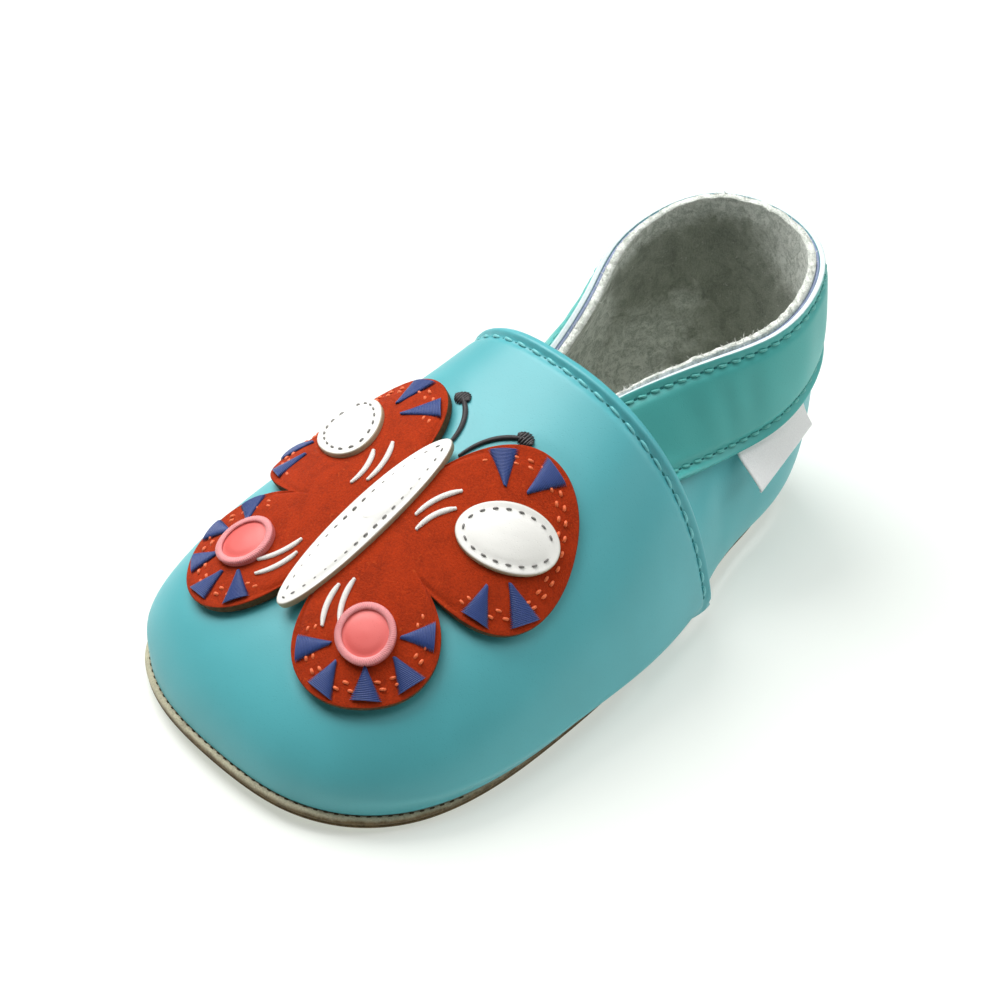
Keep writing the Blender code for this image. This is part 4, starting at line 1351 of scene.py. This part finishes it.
def pad(name, outline, lift, thickness, groove, finish, slot, node, rings=22):
    """A flat motif on the vamp: cut edge, stitched groove a distance inside it, and a soft middle."""
    middle = outline.mean(axis=0)
    radius = np.linalg.norm(outline - middle, axis=1)
    top = lift + thickness
    # Rings from the underside's middle to the top's: share of the radius, inset, height, cut edge
    table = np.array((
        *((share, 0.0, lift, 1.0) for share in (0.0, 0.5, 1.0)),
        (1.0, -0.06, lift + 0.35 * thickness, 1.0),
        (1.0, -0.05, top - 0.30, 1.0),
        (1.0, 0.02, top - 0.12, 0.8),
        (1.0, 0.16, top - 0.03, 0.15),
        *((1 - share, 0.40, top, 0.0) for share in np.linspace(0, 1, rings + 1)),
    ))

    def place(u, v):
        spoke = np.rint(u * len(outline)).astype(int) % len(outline)
        share, inset, height, cut_edge_and_painted_light = table[np.rint(v * (len(table) - 1)).astype(int)].T
        reach = np.maximum(radius[spoke] - inset, 0) * share
        flat = middle + (outline[spoke] - middle) * (reach / radius[spoke])[:, None]
        from_edge = radius[spoke] - reach
        on_top = height > lift + 0.5 * thickness
        pressed = PAD_GROOVE * bell(from_edge, groove, PAD_GROOVE_WIDTH)
        crown = PAD_CROWN * smooth(groove, groove + PAD_CROWN_REACH, from_edge)
        height = height + np.where(on_top, crown - pressed, 0)
        return on_vamp(flat[:, 0], flat[:, 1], height), {"cut_edge_and_painted_light": cut_edge_and_painted_light}

    build = placed_grid((len(outline), len(table) - 1), place)
    finished(name, build, finish, [node], sharp=80)


def inset_line(outline, inset):
    """A closed outline moved in by a distance."""
    run = np.roll(outline, -1, axis=0) - np.roll(outline, 1, axis=0)
    inward = np.column_stack([-run[:, 1], run[:, 0]]) / np.linalg.norm(run, axis=1)[:, None]
    if (inward * (outline.mean(axis=0) - outline)).sum() < 0:
        inward = -inward
    return outline + inward * inset


def over_vamp(flat, lift):
    """A flat line laid on the applique, with the vamp's normals."""
    lift = np.broadcast_to(lift, flat.shape[:-1])
    line = on_vamp(flat[..., 0], flat[..., 1], lift)
    return line, unit(on_vamp(flat[..., 0], flat[..., 1], lift + 1) - line)


WING_BASE = 0.15
WING_TOP = APPLIQUE_LIFT + SUEDE_THICKNESS
PATCH_TOP = WING_TOP + SEAT_GAP + LEATHER_THICKNESS
PATCH_STITCH = 1.25
PATCH_SINK = 0.25

# Rows of stitches on a wing: insets, share of its breadth, stagger in outline points, and depth
WING_ROWS = (WING_STITCH, WING_STITCH + 1.15)
WING_ROW_SPAN = 0.90
WING_ROW_STAGGER = 12
STITCH_BED = 0.2

# Blue satin points on the wings' margins: direction from the heel's side, half the base, length
POINTS = (
    (15.0, 2.3, 6.4),
    (29.0, 2.6, 6.0),
    (76.0, 2.7, 6.0),
    (89.0, 2.4, 5.4),
    (101.0, 2.2, 5.2),
    (116.0, 2.4, 4.8),
    (132.0, 2.5, 4.6),
    (148.0, 2.4, 4.8),
    (163.0, 2.2, 5.4),
)
POINT_INSET = 0.9
POINT_TIP = 0.25
POINT_SLANT = 0.5
POINT_BASE = WING_TOP - 0.05
POINT_DOME = 0.55

# Satin threads: their pitch, their radius, and the places along one
SATIN_PITCH = 0.24
SATIN_RADIUS = 0.165
SATIN_STEPS = np.linspace(-1, 1, 9)

# White satin bars beside the body: start and end across and along, and how far the middle bows
BARS = (
    (5.8, 6.4, 8.2, 14.0, 0.7),
    (7.8, 4.6, 9.8, 11.2, 0.7),
    (6.5, -8.0, 10.0, -14.5, -0.6),
    (5.2, -10.2, 8.2, -16.6, -0.6),
)
BAR_RADIUS = 0.24
BAR_HALF = 0.5
BAR_SLANT = 0.35
BAR_DOME = 0.4

# Feelers, laid on the vamp like the bars, with a round tip
FEELER = (1.6, 19.0, 7.6, 28.0, 1.5)
FEELER_HALF = 0.42
FEELER_TIP = 1.5
FEELER_BASE = -0.1
FEELER_DOME = 0.45

# Rose satin rings on the spots: threads, radius, twist, reach in and out from the edge, and depth
RING_THREADS = 88
RING_RADIUS = 0.2
RING_TWIST = 0.12
RING_IN = 1.1
RING_OUT = 0.15
RING_BASE = PATCH_TOP - 0.25
RING_DOME = 0.4


def satin(name, starts, ends, base, dome, thread, radius=SATIN_RADIUS):
    """Satin stitch: threads laid side by side, each from a start to an end, domed in the middle."""
    share = (SATIN_STEPS + 1) / 2
    flat = starts[:, None] + (ends - starts)[:, None] * share[:, None]
    place, normal = over_vamp(flat, base + dome * np.sqrt(1 - 0.98 * SATIN_STEPS**2))
    threads(name, place, normal, radius, thread)


def satin_bar(start, end, bow, half_width):
    """Starts and ends of the threads across a bowed bar."""
    start, end = np.array(start), np.array(end)
    run = end - start
    aside = np.array([-run[1], run[0]]) / np.linalg.norm(run)
    count = int(np.linalg.norm(run) / SATIN_PITCH)
    share = np.linspace(0, 1, count)
    middle = start + run * share[:, None] + aside * (bow * 4 * share * (1 - share))[:, None]
    reach = half_width * np.sqrt(np.maximum(1 - np.abs(2 * share - 1) ** 4, 0.2))
    slanted = unit(aside + BAR_SLANT * run / np.linalg.norm(run))
    return middle - slanted * reach[:, None], middle + slanted * reach[:, None]


def satin_point(direction, half_base, length):
    """Starts and ends of the threads across a point that stands on the wings' margin."""
    turns = math.radians(direction) + np.array([-0.01, 0.0, 0.01])
    reach = wing_reach(np.degrees(turns))
    edge = np.column_stack([reach * np.sin(turns), reach * np.cos(turns)])
    along = unit(edge[2] - edge[0])
    inward = np.array([-along[1], along[0]])
    if inward @ edge[1] > 0:
        inward = -inward
    share = np.linspace(0, 1, int(length / SATIN_PITCH))[:, None]
    middle = edge[1] + inward * (POINT_INSET + length * share)
    half = along * (half_base * (1 - share) + POINT_TIP)
    return middle - half, middle + half + inward * POINT_SLANT


def add_embroidery():
    """Satin stitch on the butterfly: blue points, white bars, dark feelers, and rings on the spots."""
    for side, word in SIDES:
        flip = np.array([side, 1])
        starts, ends = (np.vstack(part) * flip for part in zip(*(satin_point(*row) for row in POINTS)))
        satin(f"blue_points_{word}", starts, ends, POINT_BASE, POINT_DOME, "blue_thread")
        bars = [satin_bar(row[:2], row[2:4], row[4], BAR_HALF) for row in BARS]
        starts, ends = (np.vstack(part) * flip for part in zip(*bars))
        satin(f"white_bars_{word}", starts, ends, WING_TOP, BAR_DOME, "white_thread", radius=BAR_RADIUS)
        starts, ends = satin_bar(FEELER[:2], FEELER[2:4], FEELER[4], FEELER_HALF)
        turn = np.linspace(0.12, math.pi - 0.12, 9)
        tip = np.array(FEELER[2:4]) + FEELER_TIP * np.column_stack([np.cos(turn), 0 * turn])
        half = FEELER_TIP * np.sin(turn)[:, None] * (0, 1)
        starts, ends = np.vstack([starts, tip - half]) * flip, np.vstack([ends, tip + half]) * flip
        satin(f"feeler_{word}", starts, ends, FEELER_BASE, FEELER_DOME, "dark_thread", radius=BAR_RADIUS)
    for row in PATCHES:
        name, across, along, half_length = row[:4]
        if "spot" not in name:
            continue
        turn = np.linspace(0, 2 * math.pi, RING_THREADS, endpoint=False)
        ray = np.column_stack([np.cos(turn), np.sin(turn)])
        twist = np.column_stack([np.cos(turn + RING_TWIST), np.sin(turn + RING_TWIST)])
        starts = (across, along) + ray * (half_length - RING_IN)
        ends = (across, along) + twist * (half_length + RING_OUT)
        ring = name.replace("applique", "rose_ring")
        satin(ring, starts, ends, RING_BASE, RING_DOME, "rose_thread", RING_RADIUS)


def add_wings():
    """The suede wings, their margin stitches, and the leather ovals on them."""
    outline, thickness = wing_outline(WING_POINTS), WING_TOP - WING_BASE
    suede_piece = ("wing_orange", "orange_suede", "applique_wings")
    pad("butterfly_wings", outline, WING_BASE, thickness, WING_STITCH, *suede_piece)
    fine = wing_outline(WING_LINE_POINTS)
    direction = np.degrees(np.arctan2(fine[:, 0], fine[:, 1]))
    for wing, (middle, _, breadth) in zip(("upper", "lower"), WINGS):
        for side, word in SIDES:
            kept = np.abs(direction * side - middle) < breadth * WING_ROW_SPAN
            order = np.argsort(direction[kept])
            rows = []
            for number, inset in enumerate(WING_ROWS):
                part = inset_line(fine, inset)[kept][order]
                place, normal = over_vamp(part[WING_ROW_STAGGER * number :], WING_TOP - STITCH_BED)
                rows.append(stitch_paths(place, normal, WING_PITCH, WING_RISE, share=0.44, slant=0.1))
            paths, normals = (np.concatenate(part) for part in zip(*rows))
            name = f"wing_stitches_{wing}_{word}"
            threads(name, paths, normals, THREAD_RADIUS, "orange_thread")
    for row in PATCHES:
        name = row[0]
        spot = "spot" in name
        finish = "patch_pink" if spot else "patch_white"
        slot = "pink_leather" if spot else "white_leather"
        piece = name.replace("applique", "butterfly")
        outline, base = motif_outline(row, PATCH_POINTS), WING_TOP - PATCH_SINK
        pad(piece, outline, base, PATCH_TOP - base, PATCH_STITCH, finish, slot, name, rings=10)
        if spot:
            continue
        line = inset_line(motif_outline(row, SAMPLES), PATCH_STITCH)
        place, normal = over_vamp(np.vstack([line, line[:1]]), PATCH_TOP - STITCH_BED)
        paths, normals = stitch_paths(place, normal, PATCH_PITCH, PATCH_RISE, share=0.5, slant=0.0)
        threads(f"{piece}_stitches", paths, normals, PATCH_THREAD, "grey_thread")


add_camera()
add_light()
add_floor()
add_sole()
add_vamp()
add_quarter()
add_band()
add_tag()
add_wings()
add_embroidery()
